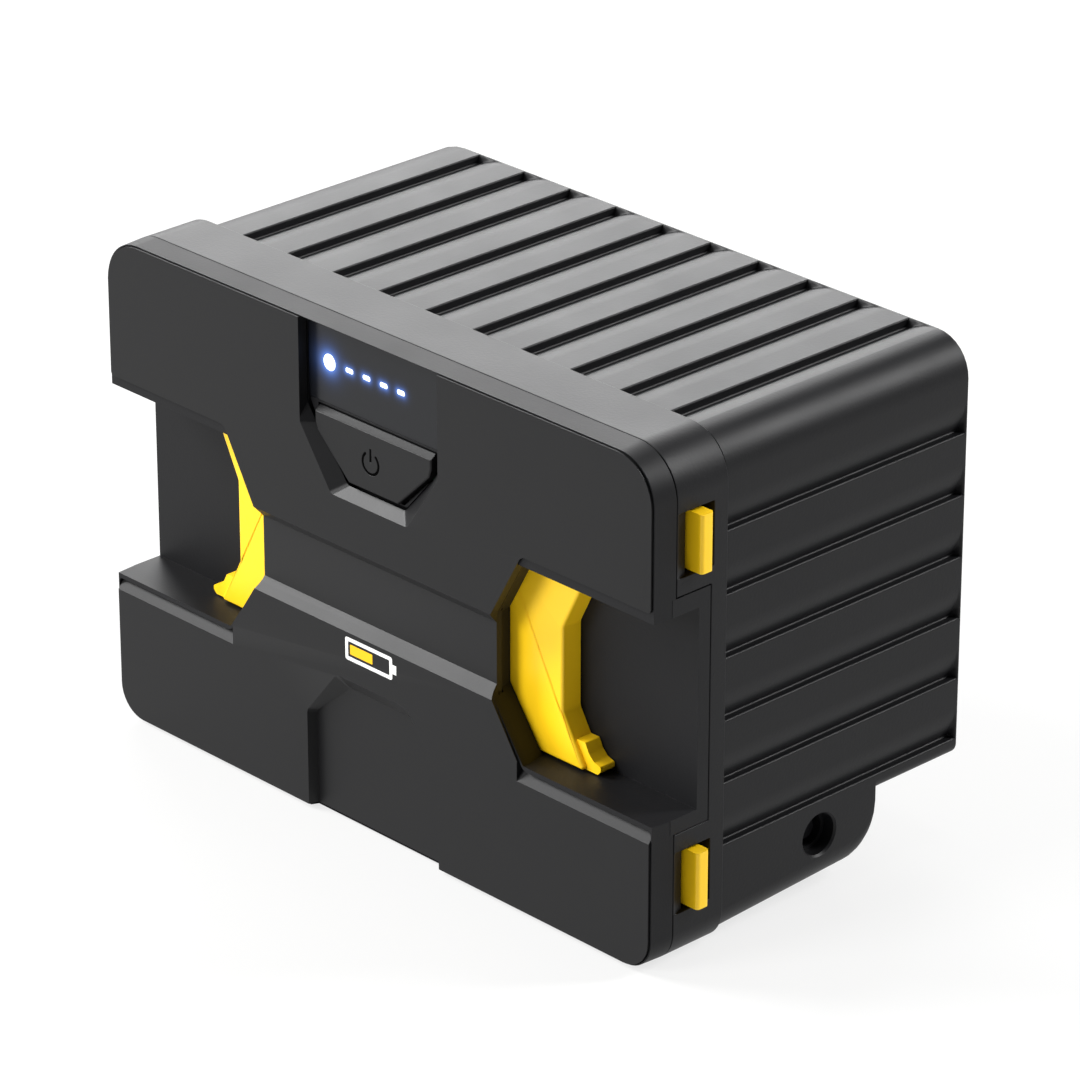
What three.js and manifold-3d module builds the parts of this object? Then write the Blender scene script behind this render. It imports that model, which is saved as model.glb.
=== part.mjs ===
// Slide-in battery pack, 190 x 104 x 130 mm: a black ribbed housing with a handled front.
// Two yellow grips stand in recesses in the front. Squeezing them together draws four latch
// tongues into the sides, which frees the pack from its bay.
//
// Millimetres, +Z up. Inside `pack`, y = 0 is the front face and y = DEPTH the rear wall;
// the exported group moves that so the origin is under the middle of the pack.
import * as THREE from "three";
import * as BufferGeometryUtils from "three/addons/utils/BufferGeometryUtils.js";
import Module from "manifold-3d";

const wasm = await Module();
wasm.setup();

// ---------------------------------------------------------------- driving dimensions
const WIDTH = 190;
const DEPTH = 104;
const HEIGHT = 130;
const HALF = WIDTH / 2;
const GAP = 0.3;

// Front moulding and bezel, measured back from the front face.
const BAND_FRONT = 0.6;
const BAND_BACK = 7;
const RECESS_BACK = 14.5;
const LINER_BACK = 18.1;
const BEZEL_BACK = 23.4;
const TOP_RADIUS = 12;
const LOW_RADIUS = 9;
const BEZEL_WALL = 2.6;
const FLANGE = 3;

// Front plate, its two pockets and the finger recesses beside its waist.
const PLATE_HALF = 94;
const PLATE_EDGE = 0.8;
const PLATE_THICK = 2.6;
const WAIST = { half: 41, low: 54, high: 73.5, shoulder: 51.9, depth: 2.6, slope: 3, level: [52.6, 74.5] };
const BAR_TOP = 37.6;
const LIP = { depth: 2.3, drop: 3 };
const BAR_LOW = 92.8;
const RECESS = { low: 38.8, high: 90.1 };
const LINER = { low: 34.9, high: 94.5 };
const POCKET = { half: 24, knee: 102.5, footHalf: 13.3, foot: 87.2, top: 128.9 };
const EMBLEM = { half: 23.3, knee: 26.5, topHalf: 12.4, top: 39.8, depth: 2.6 };
const PLATE_DEEP = 4.2;
const SKIN = 1.6;
const SKIN_BACK = PLATE_THICK + GAP + SKIN;
const SKIN_DEEP = PLATE_DEEP + GAP + SKIN;
const COLUMN_HALF = 36;

// Status panel.
const LENS = [3, 4.6];
const LIGHT_Z = 119;
const LIGHT_X = [-9.5, -3.55, 2.4, 8.35];
const LIGHT_ROUND = { x: -16.5, r: 2.1 };
const BUTTON = { top: 106.6, front: 1.4 };
const BOARD = { y: 6.7, thick: 1.3, half: 30, low: 98, high: 125 };

// Grips, latch bars and their springs.
const TONGUE_OUT = 3;
const TONGUE = { front: 12.1, back: 15.9, high: 14.6, length: 13, chamfer: 0.9 };
const NOTCH = { reach: 8, front: 11, back: 19, ramp: 1.2 };
const TONGUE_Z = [21.8, 107.2];
const WEB = { inner: 14, front: 11.2, back: 14.2, outer: COLUMN_HALF };
const GRIP = {
  front: 8.3, back: 14.2, outer: 57, low: 39.2, high: 89.7, flare: 65,
  lap: { inner: 22, low: 45, high: 83 },
  toe: { inner: 60, outer: 68.5, front: 9.6, high: 2.2 },
};
const GRIP_SCREW_X = 29;
const GRIP_SCREW_Z = [52, 76];
const SPRING_Z = [48, 80];
const SPRING = { radius: 2.4, wire: 0.45, turns: 5 };
const SPINE_HALF = 2.4;

// Rear housing.
const BODY_HALF = 94.3;
const BODY_TOP = 129.2;
const BODY_LOW = 21.2;
const BODY_RADIUS = 10;
const KEY_RADIUS = 17;
const WALL = 2.4;
const SIDE_RIB = { count: 6, pitch: 16, first: 105.8, depth: 2.2, slope: 5 };
const TOP_RIB = { count: 10, pitch: 16.34, first: -71.7, depth: 2.5, slope: 8.2 };
const RIB_END = 103.2;
const FOOT = { low: 3, back: 75.6, radius: 8 };
const FOOT_SCREW = { y: 56.5, z: 16.6, bore: 5.3, floor: 88, boss: 7.5, bossEnd: 84 };
const CAVITY_HALF = BODY_HALF - SIDE_RIB.depth - WALL;
const CAVITY_TOP = BODY_TOP - TOP_RIB.depth - WALL;
const HOUSING_SCREWS = [[82, 30], [82, 110]];
const SHELL_SCREWS = [[82, 10], [82, 119.5]];
const SEAL = { half: 76.5, low: 19, high: 121.5, thick: 2.2 };

// Cells, board and connector inside.
const CELLS = 4;
const CELL = { x: 34, y: 64, z: 84, edge: 2.5 };
const CELL_PITCH = 36.4;
const CELL_FRONT = 30;
const CELL_LOW = 26;
const CELL_TOP = CELL_LOW + CELL.z;
const POST = { high: 4.2, r: 4, inset: 15 };
const HOLDER_THICK = 2.4;
const BUSBAR = { low: CELL_TOP + HOLDER_THICK + 2 * GAP, thick: 1.2, wide: 14 };
const BMS = { x: -84, y: 32, z: 38, deep: 56, high: 66, thick: 1.6 };
const PLUG = { half: 30, low: 28, high: 48, front: 96.5 };
const BLADE_X = [-21, -7, 7, 21];
const SLOT = { half: 4.6, inset: 3.5, floor: 1.2 };
const LEAF = { inner: 2.6, thick: 1.2, back: 0.9, inset: 5 };

// ---------------------------------------------------------------- materials
const plastic = (color, roughness = 0.55) =>
  new THREE.MeshStandardMaterial({ color, roughness, metalness: 0 });
const metal = (color, roughness = 0.35) =>
  new THREE.MeshStandardMaterial({ color, roughness, metalness: 1 });
const paint = {
  housing: plastic(0x1c1c1d),
  shell: plastic(0x222223, 0.5),
  plate: plastic(0x262627, 0.45),
  yellow: plastic(0xf5c518, 0.4),
  lens: plastic(0x2a2b2e, 0.15),
  light: plastic(0xe6efff, 0.3),
  rubber: plastic(0x151515, 0.85),
  board: plastic(0x1f5a36, 0.5),
  chip: plastic(0x18181a, 0.5),
  white: plastic(0xe8e6df, 0.6),
  foam: plastic(0x4a4c50, 0.95),
  red: plastic(0xb3262a, 0.5),
  steel: metal(0xb9bcc0),
  aluminium: metal(0xc9ccd0, 0.4),
  nickel: metal(0xc2bfb4, 0.3),
  copper: metal(0xb87346),
};

// ---------------------------------------------------------------- shaping helpers
function solid(geometry) {
  const bare = geometry.index ? geometry.toNonIndexed() : geometry;
  bare.deleteAttribute("normal");
  bare.deleteAttribute("uv");
  const merged = BufferGeometryUtils.mergeVertices(bare, 1e-4);
  return new wasm.Manifold(new wasm.Mesh({
    numProp: 3,
    vertProperties: new Float32Array(merged.attributes.position.array),
    triVerts: new Uint32Array(merged.index.array),
  }));
}

const join = (...parts) => parts.reduce((sum, part) => sum.add(part));
const cut = (body, ...tools) => tools.reduce((rest, tool) => rest.subtract(tool), body);
const mirrored = (body) => body.mirror([1, 0, 0]);
const twoSides = (body) => join(body, mirrored(body));

function box(low, high) {
  const size = high.map((value, k) => value - low[k]);
  const geometry = new THREE.BoxGeometry(...size);
  geometry.translate(...low.map((value, k) => value + size[k] / 2));
  return solid(geometry);
}

// A straight round bar along one axis (0 = X, 1 = Y, 2 = Z), starting at `from`.
function rod(axis, from, length, radius, sides = 16) {
  const geometry = new THREE.CylinderGeometry(radius, radius, length, sides);
  geometry.translate(0, length / 2, 0);
  if (axis === 0) geometry.rotateZ(-Math.PI / 2);
  if (axis === 2) geometry.rotateX(Math.PI / 2);
  geometry.translate(...from);
  return solid(geometry);
}

// An outline seen from the front (shape x, y = pack x, z), pulled from y0 to y1.
function pulled(shape, y0, y1) {
  const depth = y1 - y0;
  const geometry = new THREE.ExtrudeGeometry(shape, { depth, bevelEnabled: false, curveSegments: 5 });
  geometry.rotateX(Math.PI / 2);
  geometry.translate(0, y1, 0);
  return solid(geometry);
}

// An outline seen from the side (shape x, y = pack y, z), pulled from x0 to x1.
function pulledSideways(shape, x0, x1) {
  const depth = x1 - x0;
  const geometry = new THREE.ExtrudeGeometry(shape, { depth, bevelEnabled: false, curveSegments: 5 });
  geometry.rotateY(Math.PI / 2);
  geometry.rotateX(Math.PI / 2);
  geometry.translate(x0, 0, 0);
  return solid(geometry);
}

const polygon = (points) => new THREE.Shape(points.map(([x, z]) => new THREE.Vector2(x, z)));

// The right half of an outline from bottom to top, completed by its mirror image.
const symmetric = (right) => polygon([...right, ...right.map(([x, z]) => [-x, z]).reverse()]);

// A rectangle with one radius at its lower corners and one at its upper corners. The upper left
// corner can have its own.
function rounded(half, low, high, lowRadius, highRadius, leftRadius = highRadius) {
  const shape = new THREE.Shape();
  shape.absarc(half - lowRadius, low + lowRadius, lowRadius, -Math.PI / 2, 0);
  shape.absarc(half - highRadius, high - highRadius, highRadius, 0, Math.PI / 2);
  shape.absarc(leftRadius - half, high - leftRadius, leftRadius, Math.PI / 2, Math.PI);
  shape.absarc(lowRadius - half, low + lowRadius, lowRadius, Math.PI, Math.PI * 1.5);
  shape.closePath();
  return shape;
}

// Screws: the underside of the head sits at `from`, and the shank runs along the axis.
function screw(axis, from, direction, length, radius = 1.3) {
  const along = (distance) => from.map((value, k) => (k === axis ? value + distance : value));
  const headHigh = radius * 1.3;
  const head = rod(axis, along(direction > 0 ? -headHigh : 0), headHigh, radius * 2, 12);
  const shank = rod(axis, along(direction > 0 ? -0.1 : -length), length + 0.1, radius, 8);
  return join(head, shank);
}

// A round bar along a smooth path.
function tube(points, radius, steps) {
  const path = new THREE.CatmullRomCurve3(points.map((point) => new THREE.Vector3(...point)));
  return swept(path, radius, steps, 8);
}

function swept(extrudePath, radius, steps, sides) {
  const section = new THREE.Shape();
  section.absarc(0, 0, radius, 0, Math.PI * 2);
  const points = section.getPoints(sides).slice(0, sides);
  return solid(new THREE.ExtrudeGeometry(new THREE.Shape(points), { extrudePath, steps }));
}

class Helix extends THREE.Curve {
  constructor(radius, length, turns) {
    super();
    Object.assign(this, { radius, length, turns });
  }

  getPoint(t, target = new THREE.Vector3()) {
    const angle = t * this.turns * Math.PI * 2;
    return target.set(t * this.length, this.radius * Math.cos(angle), this.radius * Math.sin(angle));
  }
}

// ---------------------------------------------------------------- outlines of the front
// I-shaped: an upper and a lower bar joined by a waisted column.
function frontOutline(half, edge, radius) {
  const upperBar = new THREE.Shape();
  const top = HEIGHT - edge;
  upperBar.moveTo(half - radius, edge);
  upperBar.absarc(half - radius, edge + radius, radius, -Math.PI / 2, 0);
  upperBar.lineTo(half, BAR_TOP);
  upperBar.lineTo(WAIST.shoulder, BAR_TOP);
  upperBar.lineTo(WAIST.half, WAIST.low);
  upperBar.lineTo(WAIST.half, WAIST.high);
  upperBar.lineTo(WAIST.shoulder, BAR_LOW);
  upperBar.lineTo(half, BAR_LOW);
  upperBar.absarc(half - radius, top - radius, radius, 0, Math.PI / 2);
  const right = upperBar.getPoints(5);
  const left = right.map((point) => new THREE.Vector2(-point.x, point.y)).reverse();
  return new THREE.Shape([...right, ...left]);
}

// The pocket for the status lights and the power button.
const pocketOutline = (inset, low, high) => symmetric([
  ...(low > POCKET.knee ? [] : [[POCKET.footHalf - inset, POCKET.foot + inset]]),
  [POCKET.half - inset, Math.max(low, POCKET.knee)],
  [POCKET.half - inset, high],
]);

// The shield-shaped recess in the lower bar, open at the bottom.
const emblemOutline = (grow) => symmetric([
  [EMBLEM.half + grow, -1],
  [EMBLEM.half + grow, EMBLEM.knee + grow * 0.6],
  [EMBLEM.topHalf + grow * 0.6, EMBLEM.top + grow],
]);

// Where the plate dips, behind the waist and the shield, it and its seat stand further back.
const dips = (grow, y0, y1) => join(
  box([-WAIST.half - grow, y0, WAIST.level[0] - 2 - grow], [WAIST.half + grow, y1, WAIST.level[1] + 2 + grow]),
  pulled(emblemOutline(1.6 + grow), y0, y1),
);

// ---------------------------------------------------------------- front mouldings
function frontCover() {
  const outline = frontOutline(PLATE_HALF, PLATE_EDGE, 8);
  const back = dips(0, PLATE_THICK - 0.1, PLATE_DEEP).intersect(pulled(outline, 0, PLATE_DEEP));
  const plate = join(pulled(outline, 0, PLATE_THICK), back);
  const [low, high] = WAIST.level;
  const waist = pulledSideways(polygon([
    [-1, low - WAIST.slope / WAIST.depth],
    [WAIST.depth, low + WAIST.slope],
    [WAIST.depth, high - WAIST.slope],
    [-1, high + WAIST.slope / WAIST.depth],
  ]), -HALF, HALF);
  const lip = pulledSideways(polygon([
    [-1, BAR_TOP - LIP.drop - LIP.drop / LIP.depth],
    [LIP.depth, BAR_TOP],
    [LIP.depth, BAR_TOP + 1],
    [-1, BAR_TOP + 1],
  ]), WAIST.shoulder - 1, HALF);
  const pocket = pulled(pocketOutline(0, 0, HEIGHT + 1), -1, PLATE_DEEP + 1);
  return cut(plate, waist, twoSides(lip), pocket, pulled(emblemOutline(0), -1, EMBLEM.depth));
}

// The region in front of each finger recess, outside the waist.
const recessOutline = polygon([
  [WAIST.half, WAIST.low],
  [WAIST.shoulder, RECESS.low],
  [HALF + 2, RECESS.low],
  [HALF + 2, RECESS.high],
  [WAIST.shoulder - 1.6, RECESS.high],
  [WAIST.half, WAIST.high],
]);

// The band round the front, the skin behind the plate, and the recesses' back, top and bottom
// walls. The column between the recesses is hollow, and open to both sides, for the grips.
function frontShell() {
  const band = pulled(rounded(HALF, 0, HEIGHT, LOW_RADIUS, TOP_RADIUS), BAND_FRONT, BAND_BACK);
  const liner = box([-HALF, BAND_BACK - 1, LINER.low], [HALF, LINER_BACK, LINER.high]);
  const seatOutline = frontOutline(PLATE_HALF + GAP, PLATE_EDGE - GAP, 8);
  const deepSeat = dips(GAP, 0, PLATE_DEEP + GAP).intersect(pulled(seatOutline, 0, DEPTH));
  const seat = join(pulled(seatOutline, -1, PLATE_THICK + GAP), deepSeat);
  const inside = HALF - 5;
  const upperHollow = box([-inside, SKIN_BACK, LINER.high + 2.5], [inside, DEPTH, HEIGHT - 4]);
  const lowerHollow = box([-inside, SKIN_BACK, 4], [inside, DEPTH, LINER.low - 2.5]);
  const shield = pulled(emblemOutline(0), -1, EMBLEM.depth);
  const column = box([-COLUMN_HALF, SKIN_BACK, 25], [COLUMN_HALF, RECESS_BACK + GAP, 105]);
  const slot = box([-HALF - 1, BAND_BACK + 1, RECESS.low], [HALF + 1, RECESS_BACK, RECESS.high]);
  const window = pulled(pocketOutline(0, 0, POCKET.top), 0, SKIN_BACK + 1);
  const recess = twoSides(pulled(recessOutline, -1, RECESS_BACK));
  const spine = box([-SPINE_HALF, BAND_BACK + 1.2, 44], [SPINE_HALF, RECESS_BACK + 1, 84]);
  const bosses = SHELL_SCREWS.map(([x, z]) => {
    const length = BEZEL_BACK - FLANGE - GAP - SKIN_BACK + 1;
    const boss = rod(1, [x, SKIN_BACK - 1, z], length, 3.2, 12);
    return twoSides(cut(boss, rod(1, [x, SKIN_BACK + 1, z], DEPTH, 1.6, 8)));
  });
  const boardPost = cut(
    box([BOARD.half - 6, SKIN_BACK - 0.5, 118.6], [BOARD.half, BOARD.y - GAP, 126.5]),
    rod(1, [BOARD.half - 3, SKIN_BACK, 122], DEPTH, 1.6, 8),
  );
  const hollow = cut(join(upperHollow, lowerHollow, column), dips(SKIN, 0, SKIN_DEEP));
  const moulding = cut(join(band, liner), seat, shield, hollow, slot, window, recess);
  return join(moulding, spine, twoSides(boardPost), ...bosses);
}

// The hole that a tongue comes out of, with a ramp that leads into it from the front.
function notch(z) {
  const plan = new THREE.Shape([
    [HALF - BEZEL_WALL - 1, NOTCH.front], [HALF - NOTCH.ramp, NOTCH.front], [HALF, BAND_BACK + GAP],
    [HALF + 1, BAND_BACK + GAP], [HALF + 1, NOTCH.back], [HALF - BEZEL_WALL - 1, NOTCH.back],
  ].map(([x, y]) => new THREE.Vector2(x, y)));
  const geometry = new THREE.ExtrudeGeometry(plan, { depth: 2 * NOTCH.reach, bevelEnabled: false });
  geometry.translate(0, 0, z - NOTCH.reach);
  return solid(geometry);
}

// The frame behind the shell. Its front edge steps back round the finger recesses, it has a
// notch for each latch tongue, and its rear flange takes the screws.
function frontBezel() {
  const outer = rounded(HALF, 0, HEIGHT, LOW_RADIUS, TOP_RADIUS);
  const inner = rounded(HALF - BEZEL_WALL, BEZEL_WALL, HEIGHT - BEZEL_WALL, LOW_RADIUS - 2, TOP_RADIUS - 2);
  const ring = cut(pulled(outer, BAND_BACK + GAP, BEZEL_BACK), pulled(inner, 0, BEZEL_BACK - FLANGE));
  const step = box([-HALF - 1, 0, LINER.low - GAP], [HALF + 1, LINER_BACK + GAP, LINER.high + GAP]);
  const notches = TONGUE_Z.map((z) => twoSides(notch(z)));
  const opening = box([-76, 0, 20], [76, DEPTH, 104]);
  const wireWay = box([-50, 0, 90], [50, DEPTH, 122]);
  const holes = [...SHELL_SCREWS, ...HOUSING_SCREWS].map(([x, z]) =>
    twoSides(rod(1, [x, 0, z], DEPTH, 1.6, 8)));
  return cut(ring, step, ...notches, opening, wireWay, ...holes);
}

// ---------------------------------------------------------------- status panel
const statusWindow = () => pulled(pocketOutline(0.3, BUTTON.top + 1.8, POCKET.top - GAP), ...LENS);

// One clear moulding: a rail with a round light and four bars standing forward from it.
function lightGuide() {
  const front = LENS[1] + GAP;
  const back = BOARD.y - GAP;
  const rail = box([-19, back - 0.8, LIGHT_Z - 2.4], [10.5, back, LIGHT_Z + 2.4]);
  const bars = LIGHT_X.map((x) =>
    box([x - 1.5, front, LIGHT_Z - 0.8], [x + 1.5, back, LIGHT_Z + 0.8]));
  return join(rail, rod(1, [LIGHT_ROUND.x, front, LIGHT_Z], back - front, LIGHT_ROUND.r), ...bars);
}

function powerButton() {
  const face = symmetric([[8.6, 91.1], [19.4, 101.4], [20.2, BUTTON.top]]);
  const skirt = symmetric([[9.2, 90.4], [20.6, 102], [20.6, BUTTON.top + 0.4]]);
  const stem = rod(1, [0, 4, 99], 1.2, 2.2, 12);
  return join(pulled(face, BUTTON.front, 3.6), pulled(skirt, 3.4, 4.4), stem);
}

// The bezel round the button, which fills the foot of the pocket.
function buttonRing() {
  const bore = symmetric([[9, 89.9], [21, 101.8], [21, BUTTON.top + 0.9]]);
  const above = box([-HALF, 0, BUTTON.top + 1.4], [HALF, DEPTH, HEIGHT]);
  return cut(pulled(pocketOutline(0.3, 0, HEIGHT), 3.2, SKIN_BACK), pulled(bore, 0, DEPTH), above);
}

function controlBoard() {
  const back = BOARD.y + BOARD.thick;
  const board = box([-BOARD.half, BOARD.y, BOARD.low], [BOARD.half, back, BOARD.high]);
  return cut(board, twoSides(rod(1, [BOARD.half - 3, 0, 122], DEPTH, 1.6, 8)));
}

const tactSwitch = () => join(
  box([-3.1, 6, 96], [3.1, BOARD.y - GAP, 102]),
  rod(1, [0, 5.75, 99], 0.4, 1.6, 12));

// ---------------------------------------------------------------- grips and latches, right side
// A C-shaped finger grip following the waist, with a lap that the latch bar screws to and a
// small toe at the bottom.
function grip() {
  const outline = polygon([
    [COLUMN_HALF + GAP, GRIP.low],
    [GRIP.flare - 0.5, GRIP.low],
    [GRIP.outer, 52],
    [GRIP.outer, 73.8],
    [GRIP.flare, GRIP.high],
    [COLUMN_HALF + GAP, GRIP.high],
  ]);
  const { lap, toe } = GRIP;
  const tab = box([lap.inner, GRIP.front, lap.low], [COLUMN_HALF + 2, WEB.front - GAP, lap.high]);
  const foot = box([toe.inner, toe.front, GRIP.low], [toe.outer, GRIP.back, GRIP.low + toe.high]);
  const holes = GRIP_SCREW_Z.map((z) => rod(1, [GRIP_SCREW_X, 0, z], DEPTH, 1.6, 8));
  return cut(join(pulled(outline, GRIP.front, GRIP.back), tab, foot), ...holes);
}

// A tongue with its outer end bevelled front and back, so that it can snap in.
function tongue(z) {
  const end = HALF + TONGUE_OUT;
  const start = end - TONGUE.length;
  const low = z - TONGUE.high / 2;
  const bevel = TONGUE.chamfer;
  const plan = new THREE.Shape([
    new THREE.Vector2(start, TONGUE.front),
    new THREE.Vector2(end - bevel, TONGUE.front),
    new THREE.Vector2(end, TONGUE.front + bevel),
    new THREE.Vector2(end, TONGUE.back - bevel),
    new THREE.Vector2(end - bevel, TONGUE.back),
    new THREE.Vector2(start, TONGUE.back),
  ]);
  const geometry = new THREE.ExtrudeGeometry(plan, { depth: TONGUE.high, bevelEnabled: false });
  geometry.translate(0, 0, low);
  return solid(geometry);
}

function latchBar() {
  const [lowZ, highZ] = TONGUE_Z;
  const web = box([WEB.inner, WEB.front, lowZ - 4], [WEB.outer, WEB.back, highZ + 4]);
  const arms = TONGUE_Z.map((z) =>
    box([WEB.inner, WEB.front, z - 4], [HALF - 6, WEB.back, z + 4]));
  const holes = GRIP_SCREW_Z.map((z) => rod(1, [GRIP_SCREW_X, 0, z], DEPTH, 1.6, 8));
  return cut(join(web, ...arms, ...TONGUE_Z.map(tongue)), ...holes);
}

const gripScrew = () => screw(1, [GRIP_SCREW_X, GRIP.front - 0.1, 0], 1, 5.4);

function spring() {
  const length = WEB.inner - SPINE_HALF - 2 * GAP - 2 * SPRING.wire;
  return swept(new Helix(SPRING.radius, length, SPRING.turns), SPRING.wire, SPRING.turns * 8, 5);
}

// ---------------------------------------------------------------- rear housing
// The ribbed section: each top groove drops at its left edge and curves up to the right, and
// each side groove has a ledge below and a slope above. The upper left corner is rounder than
// the right one, so that the pack only fits its bay one way up.
function ribbedOutline() {
  const shape = new THREE.Shape();
  shape.moveTo(BODY_HALF - 3, BODY_LOW);
  shape.absarc(BODY_HALF - 3, BODY_LOW + 3, 3, -Math.PI / 2, 0);
  const sides = Array.from({ length: SIDE_RIB.count }, (_, k) => SIDE_RIB.first - k * SIDE_RIB.pitch).reverse();
  sides.forEach((z) => {
    shape.lineTo(BODY_HALF, z);
    shape.lineTo(BODY_HALF - SIDE_RIB.depth, z);
    shape.lineTo(BODY_HALF, z + SIDE_RIB.slope);
  });
  shape.absarc(BODY_HALF - BODY_RADIUS, BODY_TOP - BODY_RADIUS, BODY_RADIUS, 0, Math.PI / 2);
  for (let k = TOP_RIB.count - 1; k >= 0; k -= 1) {
    const x = TOP_RIB.first + k * TOP_RIB.pitch;
    [1, 0.5, 0.25, 0].forEach((share) =>
      shape.lineTo(x + share * TOP_RIB.slope, BODY_TOP - TOP_RIB.depth * (1 - share) ** 2));
    shape.lineTo(x, BODY_TOP);
  }
  shape.absarc(KEY_RADIUS - BODY_HALF, BODY_TOP - KEY_RADIUS, KEY_RADIUS, Math.PI / 2, Math.PI);
  sides.reverse().forEach((z) => {
    shape.lineTo(-BODY_HALF, z + SIDE_RIB.slope);
    shape.lineTo(SIDE_RIB.depth - BODY_HALF, z);
    shape.lineTo(-BODY_HALF, z);
  });
  shape.absarc(3 - BODY_HALF, BODY_LOW + 3, 3, Math.PI, Math.PI * 1.5);
  return shape;
}

function footSolid() {
  const front = BEZEL_BACK + GAP;
  const side = new THREE.Shape();
  side.moveTo(0, 0);
  side.lineTo(FOOT.back - FOOT.radius, FOOT.low);
  side.absarc(FOOT.back - FOOT.radius, FOOT.low + FOOT.radius, FOOT.radius, -Math.PI / 2, 0);
  side.lineTo(FOOT.back, BODY_LOW + 3.4);
  side.lineTo(0, BODY_LOW + 3.4);
  const across = pulled(rounded(BODY_HALF, FOOT.low, BODY_LOW + 3.4, FOOT.radius, 0.2), front, DEPTH);
  return across.intersect(pulledSideways(side, -HALF, HALF));
}

function rearHousing() {
  const front = BEZEL_BACK + GAP;
  const ribbed = pulled(ribbedOutline(), front, RIB_END + 0.5);
  const rear = pulled(rounded(BODY_HALF, BODY_LOW, BODY_TOP, 3, BODY_RADIUS, KEY_RADIUS), RIB_END, DEPTH);
  const keyRoom = KEY_RADIUS - WALL - SIDE_RIB.depth;
  const cavity = pulled(rounded(CAVITY_HALF, BODY_LOW + WALL, CAVITY_TOP, 2, 6, keyRoom), 0, DEPTH - WALL);
  const footRoom = box([-CAVITY_HALF, 0, FOOT.low + WALL + 1], [CAVITY_HALF, FOOT.back - WALL - 1, 60]);
  const plugHole = box([-PLUG.half - GAP, 90, PLUG.low - GAP], [PLUG.half + GAP, DEPTH + 1, PLUG.high + GAP]);
  const { y, z } = FOOT_SCREW;
  const boss = rod(0, [FOOT_SCREW.bossEnd, y, z], BODY_HALF - 2 - FOOT_SCREW.bossEnd, FOOT_SCREW.boss);
  const counterbore = rod(0, [FOOT_SCREW.floor, y, z], 20, FOOT_SCREW.bore);
  const footHole = rod(0, [60, y, z], 60, 1.6, 8);
  const posts = HOUSING_SCREWS.map(([x, postZ]) => {
    const post = box([x - 4, front, postZ - 4], [CAVITY_HALF + 1, 62, postZ + 4]);
    return twoSides(cut(post, rod(1, [x, 0, postZ], 50, 1.6, 8)));
  });
  const hollow = cut(join(ribbed, rear, footSolid()), cavity, footRoom, plugHole);
  return cut(join(hollow, twoSides(boss), ...posts, bmsPosts()), twoSides(counterbore), twoSides(footHole));
}

// A cord seal in the corner between the flange and the housing's cavity.
function housingSeal() {
  const outer = rounded(SEAL.half, SEAL.low, SEAL.high, 6, 6);
  const { thick } = SEAL;
  const inner = rounded(SEAL.half - thick, SEAL.low + thick, SEAL.high - thick, 4, 4);
  const front = BEZEL_BACK + GAP;
  return cut(pulled(outer, front, front + thick), pulled(inner, 0, DEPTH));
}

const shellScrew = ([x, z]) => screw(1, [x, BEZEL_BACK + 0.1, z], -1, 13);
const housingScrew = ([x, z]) => screw(1, [x, BEZEL_BACK - FLANGE - 0.1, z], 1, 18);
const footScrew = () => screw(0, [FOOT_SCREW.floor + 0.1, FOOT_SCREW.y, FOOT_SCREW.z], -1, 14);

// ---------------------------------------------------------------- cells
const cellX = (k) => (k - (CELLS - 1) / 2) * CELL_PITCH;
const postY = [CELL_FRONT + POST.inset, CELL_FRONT + CELL.y - POST.inset];

// An aluminium can with chamfered upright edges and two terminal posts, centred on x = 0.
function cell() {
  const half = CELL.x / 2;
  const back = CELL_FRONT + CELL.y;
  const { edge } = CELL;
  const plan = new THREE.Shape([
    [half - edge, CELL_FRONT], [half, CELL_FRONT + edge], [half, back - edge], [half - edge, back],
    [edge - half, back], [-half, back - edge], [-half, CELL_FRONT + edge], [edge - half, CELL_FRONT],
  ].map(([x, y]) => new THREE.Vector2(x, y)));
  const geometry = new THREE.ExtrudeGeometry(plan, { depth: CELL.z, bevelEnabled: false });
  geometry.translate(0, 0, CELL_LOW);
  const posts = postY.map((y) => rod(2, [0, y, CELL_TOP - 0.5], POST.high + 0.5, POST.r, 12));
  return join(solid(geometry), ...posts);
}

function cellSpacer() {
  const half = (CELL_PITCH - CELL.x) / 2 - GAP;
  return box([-half, CELL_FRONT + 3, CELL_LOW + 3], [half, CELL_FRONT + CELL.y - 3, CELL_TOP - 3]);
}

// The tray under the cells: a floor with a low rim, and two legs into the foot that the foot
// screws go into.
function cellCradle() {
  const half = cellX(CELLS - 1) + CELL.x / 2 + GAP;
  const rim = half + 1.8;
  const back = CELL_FRONT + CELL.y;
  const tray = box([-rim, CELL_FRONT - 2, 24], [rim, back + 2, CELL_LOW + 10]);
  const room = box([-half, CELL_FRONT - GAP, CELL_LOW - GAP], [half, back + GAP, DEPTH]);
  const leg = box([60, 46, FOOT.low + WALL + 1 + GAP], [rim, 67, 25]);
  const pad = box([rim - 1, 50, 10], [FOOT_SCREW.bossEnd - GAP, 63, 23]);
  const bore = rod(0, [50, FOOT_SCREW.y, FOOT_SCREW.z], 50, 1.6, 8);
  return cut(join(cut(tray, room), twoSides(join(leg, pad))), twoSides(bore));
}

// The plate on top of the cells, with a window for each post, that the busbars lie on.
function busbarHolder() {
  const half = cellX(CELLS - 1) + CELL.x / 2 - 1;
  const low = CELL_TOP + GAP;
  const plate = box([-half, CELL_FRONT + 3, low], [half, CELL_FRONT + CELL.y - 3, low + HOLDER_THICK]);
  const windows = Array.from({ length: CELLS }, (_, k) => k).flatMap((k) =>
    postY.map((y) => rod(2, [cellX(k), y, 0], 200, POST.r + 0.6, 12)));
  return cut(plate, ...windows);
}

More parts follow.
